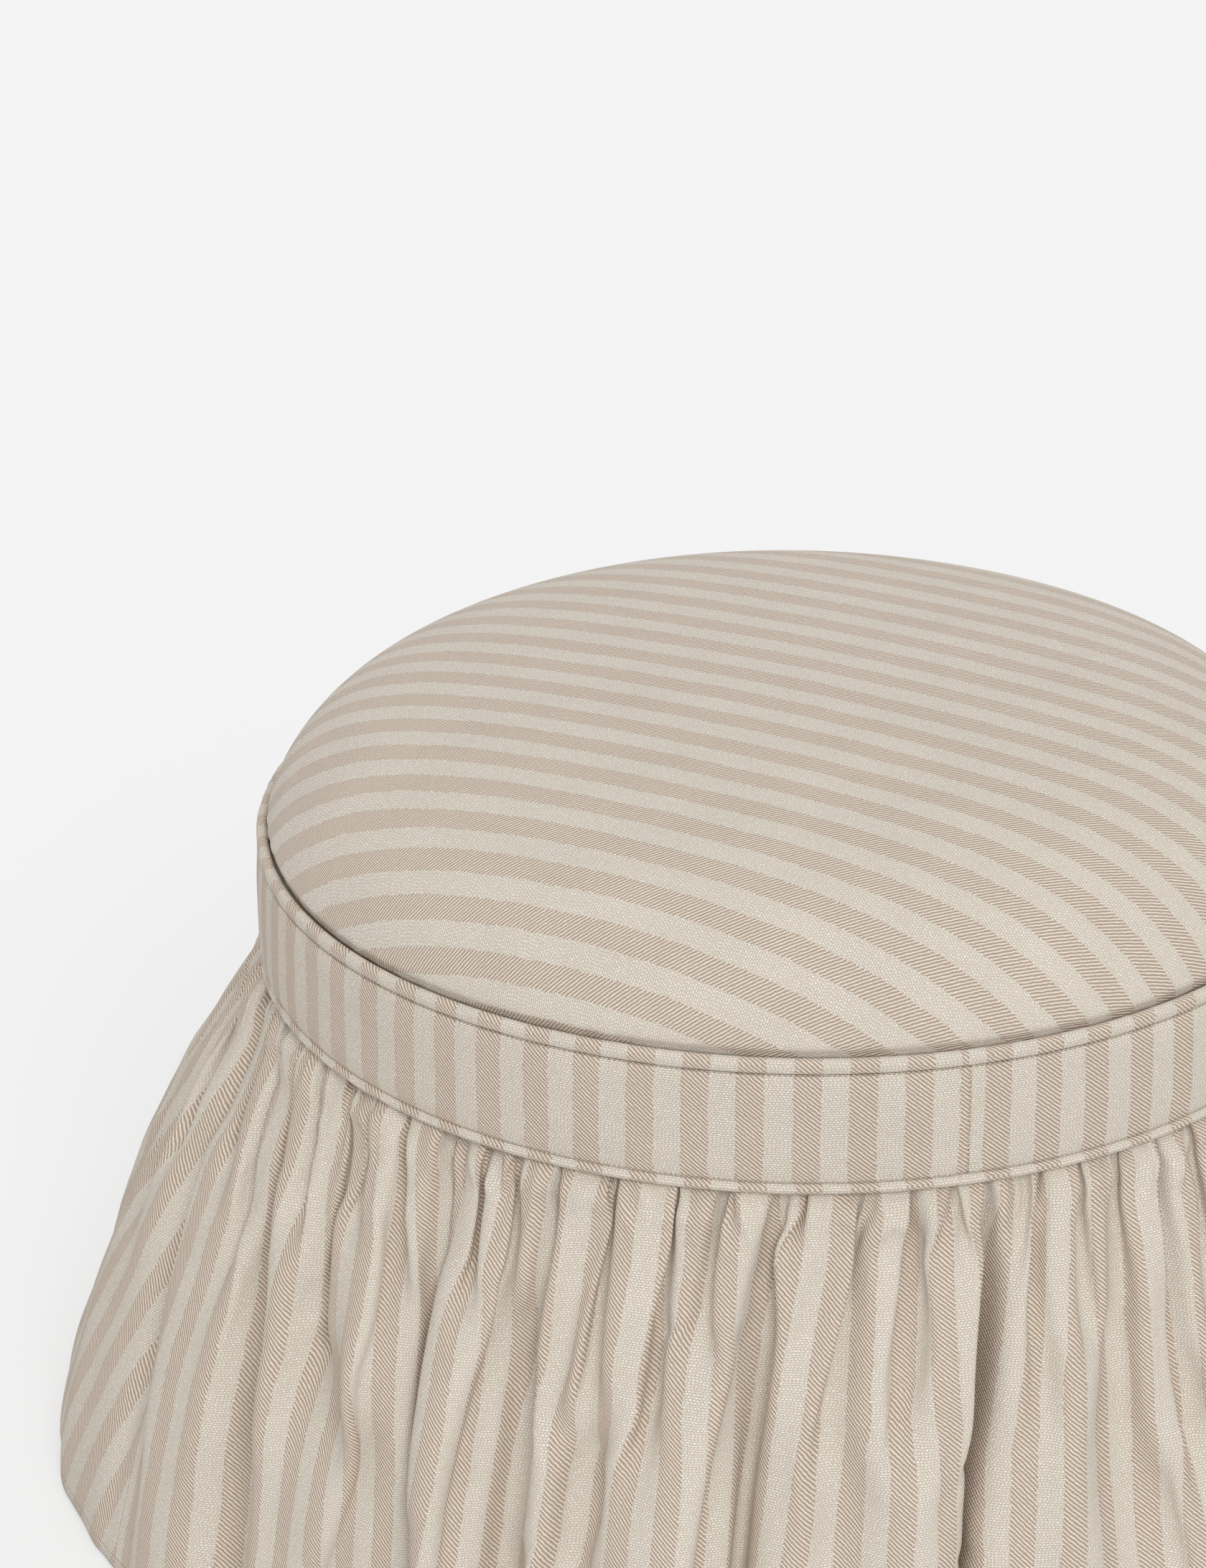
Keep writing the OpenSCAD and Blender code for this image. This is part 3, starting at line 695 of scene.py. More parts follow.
def cushion_profile(inset, steps=64):
    """Points (r, z) from the middle over the shoulder to the widest line, crowded towards the
    edge, and then a quarter of an ellipse in under the side. The roll swells out by 3.5 mm
    just above the piping, with the smooth step 3h^2 - 2h^3 of the height."""
    x = np.linspace(0, 1, steps + 1)[1:]
    s = 1 - (1 - x) ** 2.2
    rise = np.clip(cushion_height(s) / (4.5 * MM), 0, 1)
    swell = (1.3 + 2.2 * rise ** 2 * (3 - 2 * rise)) * s ** 9 * MM
    dome = np.stack([s * (LID_R - inset) + swell, WIDE_Z - inset + cushion_height(s)], 1)
    q = np.linspace(0, math.pi / 2, 10)[1:]
    under = np.stack([LID_R + 1.3 * MM - inset - 10 * MM * (1 - np.cos(q)),
                      WIDE_Z - inset - (6 * MM - 2 * inset) * np.sin(q)], 1)
    return np.vstack([dome, under])


def round_cloth_map(grid, apex):
    """Cloth map of a round cover: direction from the axis times the distance along the
    surface from the apex, turned so that v runs along the stripes."""
    first = np.linalg.norm(grid[:, :1] - apex, axis=-1)
    steps = np.linalg.norm(np.diff(grid, axis=1), axis=-1)
    far = np.concatenate([first, first + np.cumsum(steps, 1)], 1)
    a = np.arctan2(grid[..., 1], grid[..., 0])
    x, y = far * np.cos(a), far * np.sin(a)
    turn = STRIPE_TURN
    flat = np.stack([x * math.sin(turn) - y * math.cos(turn),
                     x * math.cos(turn) + y * math.sin(turn)], -1)
    return np.concatenate([flat, flat[:1]], 0)


print("cushion's top at", round(float(WIDE_Z + cushion_height(np.zeros(1))[0]), 4))


# %% Cover of the cushion
def cushion_grid(profile, count=400):
    """The profile turned round the axis, then made less than perfect: a slight lean, broad
    swells of half a millimetre, and short puckers where the cloth is drawn under."""
    a, k = np.meshgrid(TURN * np.arange(count) / count, np.arange(len(profile)), indexing="ij")
    r, z = profile[k, 0], profile[k, 1]
    s = r / LID_R
    low = np.clip((z - COVER_Z) / (WIDE_Z + 30 * MM - COVER_Z), 0, 1)
    swell = 0.5 * MM * waves(a, 3, 2, 7) * s ** 2 * low
    under = np.clip(1 - low * 1.6, 0, 1) * (r > LID_R / 2)
    pucker = 0.35 * MM * waves(a, 5, 70, 130, 14) * under
    r = r + swell * 0.6 + pucker
    x, y = r * np.cos(a), r * np.sin(a)
    lean = 0.5 * MM * (x * 1.2 - y * 0.6) / LID_R
    return np.stack([x, y, z + swell * 0.7 + lean * np.clip(1 - s ** 6, 0, 1)], -1)


TURNED_UNDER_R = 232.5 * MM
turn_under = [[LID_R - 14 * MM, COVER_Z], [LID_R - 22 * MM, COVER_Z], [TURNED_UNDER_R, COVER_Z]]
outer = np.vstack([cushion_profile(0), turn_under])
cover_grid = cushion_grid(outer[::-1])
apex = cover_grid[:, -1].mean(0)
cover_map = round_cloth_map(cover_grid[:, ::-1], apex)[:, ::-1]
cover = skin("cushion_cover", cover_grid, cover_map, loop_u=True, fans=["last"])
thicken(cover, CLOTH_T)
dress(cover, "lid", "striped_cloth", cushion_cloth, "lid_cover")

# %% Foam and wadding inside the cushion
def foam_bump(a, v):
    """Small swells round the foam's side and top, none on its flat underside."""
    return 0.3 * MM * waves(a, 8, 3, 9) * (v > 0.2), 0 * a


def wadding_bump(a, v):
    """Swells of a fifth of a millimetre all over the wadding."""
    return 0.2 * MM * waves(a, 9, 5, 20), 0 * a


core = cushion_profile(11.4 * MM, 40)
core = core[core[:, 1] > FOAM_Z + 2 * MM]
core = np.vstack([core, [[core[-1, 0] - 2 * MM, FOAM_Z], [core[-1, 0] - 12 * MM, FOAM_Z],
                         [40 * MM, FOAM_Z]]])
block = turned("cushion_foam", core[::-1], 240, closed=False, fans=["first", "last"],
               bump=foam_bump)
dress(block, "lid", "foam", foam, "lid_foam")

skin_out = cushion_profile(1.5 * MM, 44)
skin_out = skin_out[skin_out[:, 1] > COVER_Z + 2.2 * MM]
skin_in = cushion_profile(11.1 * MM, 40)
skin_in = skin_in[skin_in[:, 1] > FOAM_Z + 4 * MM]
tail = np.array([[PANEL_R + 0.6 * MM, FOAM_Z + 2 * MM], [PANEL_R + 0.6 * MM, COVER_Z + 1.5 * MM]])
wrap_line = np.vstack([skin_in, tail, skin_out[::-1]])
wrap = turned("cushion_wadding", wrap_line, 240, closed=False, fans=["first", "last"],
              bump=wadding_bump)
dress(wrap, "lid", "wadding", wadding, "lid_wadding")

# %% [markdown]
# ## The padded band
#
# The band is one straight strip of the striped cloth over 7 mm of padding, sewn into the
# piping at its top and bottom edges. Padding makes it swell a little between the seams. The
# strip's two ends meet in a single upright seam to the right of the middle, where the
# stripes don't match: the cloth map starts there, so the pattern breaks at that line.

# %% Band cover
SEAM = math.radians(-74.7)
BAND_PHASE = arc_mm(5.55)
# Degrees on from the seam, crowded beside it
band_angles = np.concatenate([[0, 0.05, 0.1, 0.16, 0.24, 0.34, 0.5, 0.75],
                              np.arange(1.1, 359.0, 0.6),
                              [359.25, 359.5, 359.66, 359.76, 359.84, 359.9, 359.95]])
band_angles = SEAM + np.radians(band_angles)


def band_bump(a, v):
    """Slow swells of the padding, and a groove a millimetre deep at the upright seam."""
    gap = np.abs((a - SEAM + math.pi) % TURN - math.pi) * SEAT_R
    outside = v < 70 * MM
    groove = -0.9 * MM * np.exp(-(gap / (0.75 * MM)) ** 2)
    groove -= 0.25 * MM * np.exp(-(gap / (4 * MM)) ** 2)
    swell = 0.22 * MM * waves(a, 21, 20, 60) + 0.15 * MM * waves(a + v * 20, 22, 6, 18)
    between_seams = np.sin(np.clip(v / (58 * MM), 0, 1) * math.pi)
    return np.where(outside, groove + swell * between_seams, 0), 0 * a


x = np.sin(np.linspace(-math.pi / 2, math.pi / 2, 34))
side = np.stack([SEAT_R - 1.7 * MM + 2.1 * MM * (1 - np.abs(x) ** 5) ** 0.6,
                 (BAND_Z + RIM_Z) / 2 + x * (RIM_Z - BAND_Z) / 2], 1)
back = [[SEAT_R - 2.6 * MM, RIM_Z], [SEAT_R - 2.4 * MM, RIM_Z - 2 * MM],
        [SEAT_R - 1.5 * MM, RIM_Z - 8 * MM], [SEAT_R - 1.5 * MM, BAND_Z + 8 * MM],
        [SEAT_R - 2.4 * MM, BAND_Z + 2 * MM], [SEAT_R - 2.6 * MM, BAND_Z]]
# The dark dashed lines beside both lines of piping and at the upright seam are stitches, and also
# painted shade in these seams
band_cloth = striped_cloth("band_cloth", phase=BAND_PHASE, pucker=(0.0, 59.5 * MM),
                           stitch_and_shade_lines=(1.3 * MM, 58.2 * MM), upright=0.3 * MM)
band = turned("band_cloth", np.vstack([side, back]), at=band_angles, bump=band_bump)
start_map(band, SEAM)
dress(band, "base", "striped_cloth", band_cloth, "band_cover")

# %% Padding behind the band
# Points (r, z) in millimetres: up the outside, over the top and down the wall
pad_line = [[274.6, 288.2], [277.0, 288.4], [278.0, 292], [278.3, 317], [278.0, 342],
            [277.0, 345.6], [271.2, 345.8], [270.9, 344], [270.9, 297.4], [274.5, 297.2]]
padding = turned("band_pad", np.array(pad_line) * MM, 240)
dress(padding, "base", "wadding", wadding, "band_padding")

# %% [markdown]
# ## Piping
#
# Two lines of piping finish the band: a tall one on the rim and a thinner round one above the
# skirt. Each is a strip of the same cloth folded round a cord, so its stripes cross the
# cord. The section is a rounded oval carried round the rim, with the cord inside it, and it
# wavers by a few tenths of a millimetre, as sewn piping does.

# %% Piping on the rim and above the skirt
def oval(r, z, w, h, count=28):
    """An upright oval as wide as w and as tall as h: two half circles and straight sides,
    standing on z. Points run counter-clockwise."""
    q = TURN * (np.arange(count) + 0.5) / count
    half = max(h - w, 0) / 2
    return np.stack([r + w / 2 * np.cos(q), z + h / 2 + np.sign(np.sin(q)) * half
                     + w / 2 * np.sin(q)], 1)


def piping(name, node, r, z, w, h, seed, phase, seam, count=900):
    """Cloth round a cord: the oval turned round the axis, the first length at the seam."""
    start = math.radians(seam)

    def bump(a, v):
        """Short and long wavers, and a notch where the strip's ends meet."""
        thin = 0.12 * MM * waves(a, seed, 90, 220, 16)
        slow = 0.16 * MM * waves(a, seed + 1, 20, 60, 10)
        notch = np.exp(-(((a - start + math.pi) % TURN - math.pi) * SEAT_R / (0.8 * MM)) ** 2)
        out = np.cos(TURN * (v / v.max()))
        return (thin + slow) * 0.6 - 0.35 * MM * notch * out, thin * 0.5 + slow * 0.6

    tube = turned(name, oval(r, z, w, h), count, first=start, bump=bump)
    start_map(tube, start)
    thicken(tube, 1.0 * MM)
    cloth = striped_cloth(name + "_cloth", phase=phase)
    dress(tube, "base", "striped_cloth", cloth, node)
    return tube


piping("rim_piping", "rim_welt", 277 * MM, 346.1 * MM, 6 * MM, 8 * MM, 31, arc_mm(5.9), -74.9)
piping("skirt_piping", "skirt_welt", 277.1 * MM, 281.9 * MM, 6 * MM, 6 * MM, 41, arc_mm(6.6),
       -75.4)

# %% Cords inside the piping
def strands(a, v):
    """Three strands that twist: the cosine of three turns round the section plus 180 a."""
    return 0.12 * MM * np.cos(3 * TURN * v / v.max() + 180 * a), 0 * a


def cord_line(name, node, r, z, w, h):
    """The cord inside a piping: a small oval turned round the axis."""
    piece = turned(name, oval(r, z, w, h, 16), 720, bump=strands)
    return dress(piece, "base", "wadding", cord_cotton, node)


cord_line("rim_piping_cord", "rim_welt_cord", 277 * MM, 347.5 * MM, 3.1 * MM, 5.1 * MM)
cord_line("skirt_piping_cord", "skirt_welt_cord", 277.1 * MM, 283.3 * MM, 3.1 * MM, 3.1 * MM)

# %% [markdown]
# ## The gathered skirt
#
# The skirt is a straight strip of cloth, 1.6 times as long as the rim that it is gathered
# onto. Where it meets the piping it stands in about 160 small tucks. Lower down the small
# tucks run out one after another, and the cloth opens into broad folds, because the hem is
# wider than the rim. A cloth simulation would gather it too, but would not put the folds
# where the photograph shows them.
#
# Cloth bends easily but hardly stretches, so the folds are drawn in the cloth's own
# coordinate. At each height the cloth runs in some direction, at an angle to the rim: zero
# where it runs round, positive where it heads outwards, and past a right angle where one
# fold lies over the next. Adding up small steps along that direction gives the line of the
# cloth, with its true length. Every tuck is an odd bump of the angle: inwards before the
# valley, outwards after it. The strength of all bumps at a height is solved so that the
# cloth goes round exactly once.

# %% Where the slits are
STRIPES_ROUND = 104
CLOTH_W = STRIPES_ROUND * STRIPE * MM
SKIRT_ROWS = 58
# Degrees round from the front, how far down it lasts, strength, and which side is the wider.
# A life of 3 reaches the hem, and a strength above 3 is a deep fold
FRONT_SLITS = np.array([
    [-86.0, 0.3, 1.0, 0.2], [-79.7, 0.7, 2.4, -0.5], [-75.4, 0.2, 0.9, 0.3],
    [-71.0, 0.3, 0.9, -0.2], [-65.5, 1.1, 1.2, 0.3], [-60.0, 0.2, 0.9, -0.3],
    [-55.0, 0.35, 1.0, 0.2], [-50.5, 0.15, 0.8, 0.3], [-45.1, 0.5, 1.0, -0.3],
    [-39.5, 3.0, 3.2, -0.55], [-34.5, 0.2, 0.7, 0.2], [-30.8, 0.3, 1.1, 0.3],
    [-26.0, 3.0, 1.4, -0.3], [-19.8, 0.3, 0.8, 0.3], [-13.9, 0.35, 1.0, 0.2],
    [-8.9, 0.2, 0.8, -0.2], [-2.7, 3.0, 1.4, -0.3], [4.5, 0.35, 1.0, 0.3],
    [10.0, 0.3, 1.3, 0.4], [17.7, 3.0, 3.2, 0.3], [21.2, 0.2, 0.9, -0.2],
    [24.0, 0.45, 0.8, 0.3], [28.5, 0.25, 0.8, -0.3], [33.0, 1.6, 1.1, -0.3],
    [38.0, 0.4, 1.1, 0.3], [42.7, 0.3, 0.9, -0.3]])
rng = np.random.default_rng(57)
BACK = 38
BACK_SLITS = np.stack([np.linspace(42.7, 272.0, BACK + 2)[1:-1] + rng.uniform(-1.4, 1.4, BACK),
                       np.where(np.arange(BACK) % 3 == 0, 3.0, rng.uniform(0.2, 1.2, BACK)),
                       rng.uniform(0.8, 1.5, BACK), rng.uniform(-0.45, 0.45, BACK)], 1)
SLITS = np.vstack([FRONT_SLITS, BACK_SLITS])

# Three valleys that are deeper than the rest: degrees round, depth in millimetres, half
# width in degrees, and the shares of the drop where it starts and fades
DEEP = np.array([[-80.2, 8, 1.0, 0.08, 0.82], [-38.6, 9, 1.1, 0.06, 0.6],
                 [18.7, 15, 1.35, 0.08, 3.0]])

# The cloth leans towards the front as it goes down: degrees round, and degrees of lean
LEAN = np.array([
    [-180, 0], [-130, 2], [-95, 7], [-80, 11], [-66, 12], [-50, 9.5], [-43, 9], [-36, 4],
    [-28, 1.5], [-22, 0.3], [-13, -0.5], [-6, -1.5], [0, -5], [5, -4], [14.7, -2.6],
    [19.7, -8], [35, -6], [60, -6.5], [90, -5], [130, -2], [180, 0]])

row_share = np.concatenate([np.linspace(0, 0.1, 15)[:-1],
                            0.1 + 0.9 * np.linspace(0, 1, SKIRT_ROWS - 14) ** 1.06])
print("skirt cloth", round(CLOTH_W, 3), "m wide,", len(SLITS), "slits,",
      int((SLITS[:, 1] > 1).sum()), "of them down to the hem")


# %% Outline of the skirt from the side
def flare(t):
    """Share of the way out at share t of the drop: 1 - (1 - t)^1.47, as in the frame."""
    return 1 - (1 - t) ** 1.47


def ridge_r(t, degrees=None):
    """Radius of the ridges: the heading's, plus the flare's share of the way to the hem's,
    plus a low puff just under the piping. At the left of the front the hem is drawn in by
    a little, and the left side swells out a little halfway down."""
    puff = 4.5 * MM * np.exp(-((t - 0.04) / 0.035) ** 2)
    r = HEADING_R + (HEM_R - HEADING_R) * flare(t) + puff
    if degrees is None:
        return r
    drawn = np.exp(-((degrees + 55) / 14) ** 2) + 0.3 * np.exp(-((degrees + 15) / 30) ** 2)
    full = np.exp(-((degrees + 90) / 14) ** 2)
    return r[:, None] - MM * (15 * t[:, None] ** 2 * drawn - 6 * np.sin(t[:, None] * 2.2) * full)


drop = SKIRT_TOP - HEM_Z
row_z = SKIRT_TOP - drop * row_share
row_v = -lengths(np.stack([ridge_r(row_share), row_z], 1))
print("cloth length down the skirt", round(-row_v[-1], 3), "m")


# %% Directions of the cloth
def odd_bump(x, left, right, edge):
    """Inwards before the valley and outwards after it: x e^((1 - |x|^p) / p), which is one at
    x = 1, with its own width on each side. A high power p gives a slit with sharp lips."""
    y = np.where(x < 0, x / left, x / right)
    return y * np.exp((1 - np.abs(y) ** edge) / edge) * np.where(x < 0, 1 / left, 1 / right)


TINY_TUCKS = 95
FAINT_FOLDS = 60


def fold_directions(s, t):
    """Sum of the odd bumps of all slits at each height t, over the cloth coordinate s. The
    slits of the table come first, then tiny tucks beside the piping, then faint folds."""
    rng = np.random.default_rng(11)
    total = np.zeros((len(t), len(s)))

    def add(degrees, width, strength, bias):
        """Adds one slit, whose place, width, strength and bias may change down the drop."""
        centre = (0.75 + degrees / 360) * CLOTH_W
        x = (s[None] - centre[:, None] + CLOTH_W / 2) % CLOTH_W - CLOTH_W / 2
        x = x / width[:, None]
        total[...] += strength[:, None] * odd_bump(x, (1 - bias)[:, None], (1 + bias)[:, None],
                                                   2 + 2.2 * np.exp(-t / 0.3)[:, None])

    for k, (degrees, life, power, bias) in enumerate(SLITS):
        wander = (0.5 * np.sin(6 * t + 2.3 * k) + 0.25 * np.sin(17 * t + k)) * np.clip(t * 8, 0, 1)
        spread = 11 + 7 * (life > 1) + 5 * (power > 3)
        width = (5.0 + spread * t ** 0.9) * MM
        width = width * rng.uniform(0.8, 1.2)
        fade = np.exp(-(t / life) ** 3) * (1 - 0.35 * t * (power < 2))
        rise = 1 + (power - 1) * np.clip(t / 0.06, 0, 1) + 0.25 * np.sin(13 * t + 1.7 * k)
        add(degrees + wander, width, rise * fade, bias * np.exp(-(t / max(life, 0.6)) ** 4))
    for degrees in rng.random(TINY_TUCKS) * 360:
        life = rng.uniform(0.02, 0.09)
        width = (2.6 + 12 * t) * MM * rng.uniform(0.8, 1.4)
        bias = rng.uniform(-0.4, 0.4) + 0 * t
        add(degrees + rng.uniform(-12, 12) * t, width, 0.8 * np.exp(-(t / life) ** 2), bias)
    for degrees in rng.random(FAINT_FOLDS) * 360:
        middle = rng.uniform(0.12, 1.0)
        width = (6 + 19 * t) * MM * rng.uniform(0.8, 1.4)
        power = 0.24 * np.exp(-((t - middle) / rng.uniform(0.1, 0.3)) ** 2)
        add(degrees + rng.uniform(-8, 8) * t, width, power, 0 * t)
    return total


print("one odd bump:", np.round(odd_bump(np.array([-1.0, 0.0, 1.0]), 1, 1, 2), 2))


# %% Helper: smoothing round the skirt
def smooth(rows, length):
    """Rows round the skirt with everything shorter than about a length taken out."""
    spread = np.fft.rfftfreq(rows.shape[1], CLOTH_W / rows.shape[1])
    return np.fft.irfft(np.fft.rfft(rows) * np.exp(-(spread * length) ** 2), rows.shape[1])


print("a flat line stays flat:", np.round(smooth(np.ones((1, 8)), 0.1)[0, :3], 3))

# %% Lines of the cloth at every height
HANDFUL = 0.1
STEEPEST = math.radians(125)


def cloth_lines(s, t):
    """Radius, angle and direction of the cloth at each height. The direction is limited to
    STEEPEST, by tanh. The radius is the ridge's plus the running sum of the direction's
    sine, and the angle is the running sum of its cosine over the radius. Where the cloth
    gets round too fast the folds are made stronger, and where too slowly weaker, until
    every HANDFUL of folds takes its own share of the turn."""
    step = s[1] - s[0]
    pattern = fold_directions(s, t)
    innermost = WALL_R + 1.9 * MM
    rounding = 1.2 * MM
    reach = np.clip(0.12 + t / 0.022, 0, 1)[:, None]
    even = s[None] / CLOTH_W * TURN
    degrees = (np.degrees(even[0]) - 270 + 180) % 360 - 180
    lean = smooth(np.radians(np.interp(degrees, LEAN[:, 0], LEAN[:, 1]))[None], 0.045)
    lean = lean * 1.35 * np.tanh(t[:, None] / 0.6)
    aim = 1 + np.gradient(lean, axis=1) / step * CLOTH_W / TURN
    ridge = ridge_r(t, degrees)
    for middle, depth, wide, start, end in DEEP:
        down = np.clip((t - start) / 0.2, 0, 1) * np.exp(-(t / end) ** 4)
        ridge = ridge - depth * MM * down[:, None] * np.exp(-((degrees - middle) / wide) ** 2)
    strength = np.full(pattern.shape, 0.9)
    for _ in range(60):
        turn = STEEPEST * np.tanh(strength * pattern / STEEPEST)
        out = np.cumsum(np.sin(turn) - np.sin(turn).mean(1, keepdims=True), 1) * step
        out = out - smooth(out, 2 * HANDFUL)
        out = out - np.percentile(out, 88, axis=1)[:, None]
        r = ridge + out * reach
        r = innermost + rounding * np.logaddexp(0, (r - innermost) / rounding)
        along = np.cos(turn) / r
        pace = smooth(along, HANDFUL) * CLOTH_W / TURN / smooth(aim, HANDFUL)
        strength = np.clip(strength * np.clip(pace, 0.7, 1.4) ** 1.5, 0.02, 6)
    swing = np.cumsum(along, 1) * TURN / along.sum(1, keepdims=True) - even - lean
    drift = smooth(swing, HANDFUL)
    print("cloth drifts by up to", round(float(np.abs(drift).max()) * SEAT_R / MM, 1),
          "mm, taken out")
    return r, even + lean + swing - drift, turn


# The lines are worked out twice as fine as the mesh that they end in
columns = 2100
fine = np.arange(columns * 2) / (columns * 2) * CLOTH_W
r, a, turn = cloth_lines(fine, row_share)
print("valleys in to", np.round(r.min(1)[[5, 20, 40, -1]], 4), "ridges out to",
      np.round(r.max(1)[[5, 20, 40, -1]], 4))

# %% [markdown]
# The strip is three widths of cloth, joined by upright seams, so the skirt is made as three
# panels. Fine creases run out from the stitching between the slits. The hem is turned up
# inside, and the top edge stands behind the band, where it is stapled to the drum.

# %% Creases
def crumple(rows_at, wide, tall, seed):
    """Smooth noise over the skirt, about one high, with lumps of a given width along the
    rim and height down the drop: white noise with its short waves taken out."""
    rng = np.random.default_rng(seed)
    down = np.arange(0, 2 * drop, 2 * MM)
    field = smooth(rng.standard_normal((len(down), columns * 2)), wide)
    waves_down = np.fft.fftfreq(len(down), 2 * MM)[:, None]
    field = np.fft.ifft(np.fft.fft(field, axis=0) * np.exp(-(waves_down * tall) ** 2), axis=0).real
    field = field / field.std()
    place = rows_at * drop / (2 * MM)
    low = place.astype(int)
    return field[low] + (place - low)[:, None] * (field[low + 1] - field[low])


near_rim = (np.exp(-(row_share / 0.14) ** 2) * np.clip(row_share / 0.012, 0, 1))[:, None]
creases = np.tanh(1 - 2 * np.abs(crumple(row_share, 0.016, 0.035, 62))) * 1.2 * MM * near_rim
dents = crumple(row_share, 0.045, 0.13, 63) * 0.6 * MM * np.clip(row_share * 5, 0, 1)[:, None]
r_skin = r + (creases + dents) * np.cos(turn)
print("creases and dents up to", round(float(np.abs(creases + dents).max()) / MM, 2), "mm")

# %% The skirt's face
lift = 1.3 * MM * np.abs(waves(fine / CLOTH_W * TURN, 61, 5, 40))
z = row_z[:, None] + lift[None] * row_share[:, None] ** 2
normal = np.stack([np.cos(a - turn), np.sin(a - turn)], -1)
points = np.stack([r_skin * np.cos(a), r_skin * np.sin(a), z], -1)[:, ::2]
normal = normal[:, ::2]
print("the face has", points.shape[0], "rows of", points.shape[1], "points")

# %% Heading and hem
head_r = np.array([272.4, 272.6, 272.8])[:, None] * MM
head_z = np.array([296.6, 290.5, 286.0]) * MM
head = np.stack([head_r * np.cos(a[0, ::2]), head_r * np.sin(a[0, ::2]),
                 np.repeat(head_z[:, None], columns, 1)], -1)


def inside(row, depth, height):
    """A row of the skirt moved in by a depth along its level normal, at a height."""
    moved = points[row].copy()
    moved[:, :2] -= normal[row] * depth
    moved[:, 2] = points[-1, :, 2] + height
    return moved


# The hem is turned up inside, back along the rows that it covers
hem_rows = [len(row_share) - k for k in (1, 1, 1, 2, 4, 6)]
hem_heights = [-0.7, -0.5, 1.0] + [(row_z[k] - row_z[-1]) / MM + 1.0 for k in hem_rows[3:]]
hem_depths = [0.6, 1.9, 2.6, 2.6, 2.6, 2.6]
hem = np.stack([inside(k, d * MM, h * MM) for k, d, h in zip(hem_rows, hem_depths, hem_heights)])

whole = np.concatenate([head, points, hem])[::-1].transpose(1, 0, 2)
head_v = row_v[0] + np.array([13.0, 7.0, 2.4]) * MM
hem_v = row_v[-1] - np.cumsum([0.9, 1.3, 1.7, 5.0, 10.0, 10.0]) * MM
v_line = np.concatenate([head_v, row_v, hem_v])[::-1]
t_line = np.concatenate([0 * head_v, row_share, 1 + 0 * hem_v])[::-1]
print("with its heading and hem the cloth is", round(float(v_line[-1] - v_line[0]), 3), "m long")

# %% Skirt panels
FRONT_SEAM = -78.5
BIAS = 12


def on_the_bias(degrees, t):
    """How far the cloth map is sheared, in metres: BIAS degrees of the strip, times the share
    of the way to the front seam, times the share of the drop below its first tenth. The left
    width hangs on the bias there, so its stripes slant and meet that seam."""
    near_seam = np.clip((degrees + 150) / 58, 0, 1)
    return BIAS * CLOTH_W / 360 * near_seam * np.clip(t - 0.1, 0, 1) / 0.9


skirt_cloth = striped_cloth("skirt_cloth", phase=9.0, stitch_and_shade_lines=(row_v[-1] + 6 * MM,))
third = columns // 3
first_column = int(columns * ((FRONT_SEAM + 270) / 360 - 1 / 3))
for k, name in enumerate(["skirt_panel_left", "skirt_panel_front", "skirt_panel_right"]):
    across = first_column + k * third + np.arange(third + 1)
    u_map, v_map = np.meshgrid(across / columns * CLOTH_W, v_line, indexing="ij")
    if name == "skirt_panel_left":
        u_map = u_map + on_the_bias((across[:, None] / columns - 0.75) * 360, t_line)
    panel = skin(name, whole[across % columns], np.stack([u_map, v_map], -1))
    thicken(panel, 1.1 * MM)
    dress(panel, "base", "striped_cloth", skirt_cloth, "skirt")


def lining_bump(a, v):
    """Shallow waves inwards at the lining's hem, where v is nought, that fade upwards."""
    return -np.abs(waves(a, 71, 12, 40)) * 2.0 * MM * np.clip(0.9 - v / 0.3, 0, 1), 0 * a


valley = r.min(1) - 4.5 * MM
straight = np.interp(row_share, [0.0, 0.05, 1.0], [271.9, 273.0, 388.0]) * MM
lining_r = np.maximum(np.minimum(valley, straight), WALL_R + 1.0 * MM)
line = np.stack([lining_r, row_z], 1)[row_share < 0.95][1:]
skirt_lining = turned("skirt_lining_cloth", line[::-1], 480, closed=False, bump=lining_bump)
thicken(skirt_lining, LINING_T)
dress(skirt_lining, "base", "lining_cotton", lining_cotton, "skirt_lining")

# %% [markdown]
# ## The storage well and the dust cloths
#
# The well is a drum of card covered with cotton, which turns out over the rim as far as the
# piping. A round board covered with the same cotton is its floor. Black dust cloth closes
# the underside of the drum and of the lid. All of them are thin, so they are profiles turned
# round the axis, with slight slack between the places where they are held.

# %% Lining of the well
# Points (r, z) in millimetres: up the outside, out over the rim, back in and down
well_line = [[234.9, 26.2], [234.9, 120], [234.9, 240], [234.9, 345.6], [235.4, 346.1],
             [250, 346.1], [273.8, 346.1], [273.8, 346.9], [250, 346.9], [236.2, 346.9],
             [234.9, 346.6], [234.2, 345.4], [234.2, 300], [234.2, 240], [234.2, 170],
             [234.2, 100], [234.2, 60], [234.2, 26.2]]


def well_bump(a, v):
    """Shallow upright slack in the lining, only on its inner face and away from the rim."""
    face = (v > 0.42) & (v < 0.70)
    return -np.abs(waves(a, 81, 14, 40)) * 0.7 * MM * face, 0 * a


well = turned("well_lining_cloth", np.array(well_line) * MM, 360, bump=well_bump)
dress(well, "base", "lining_cotton", lining_cotton, "storage_lining")


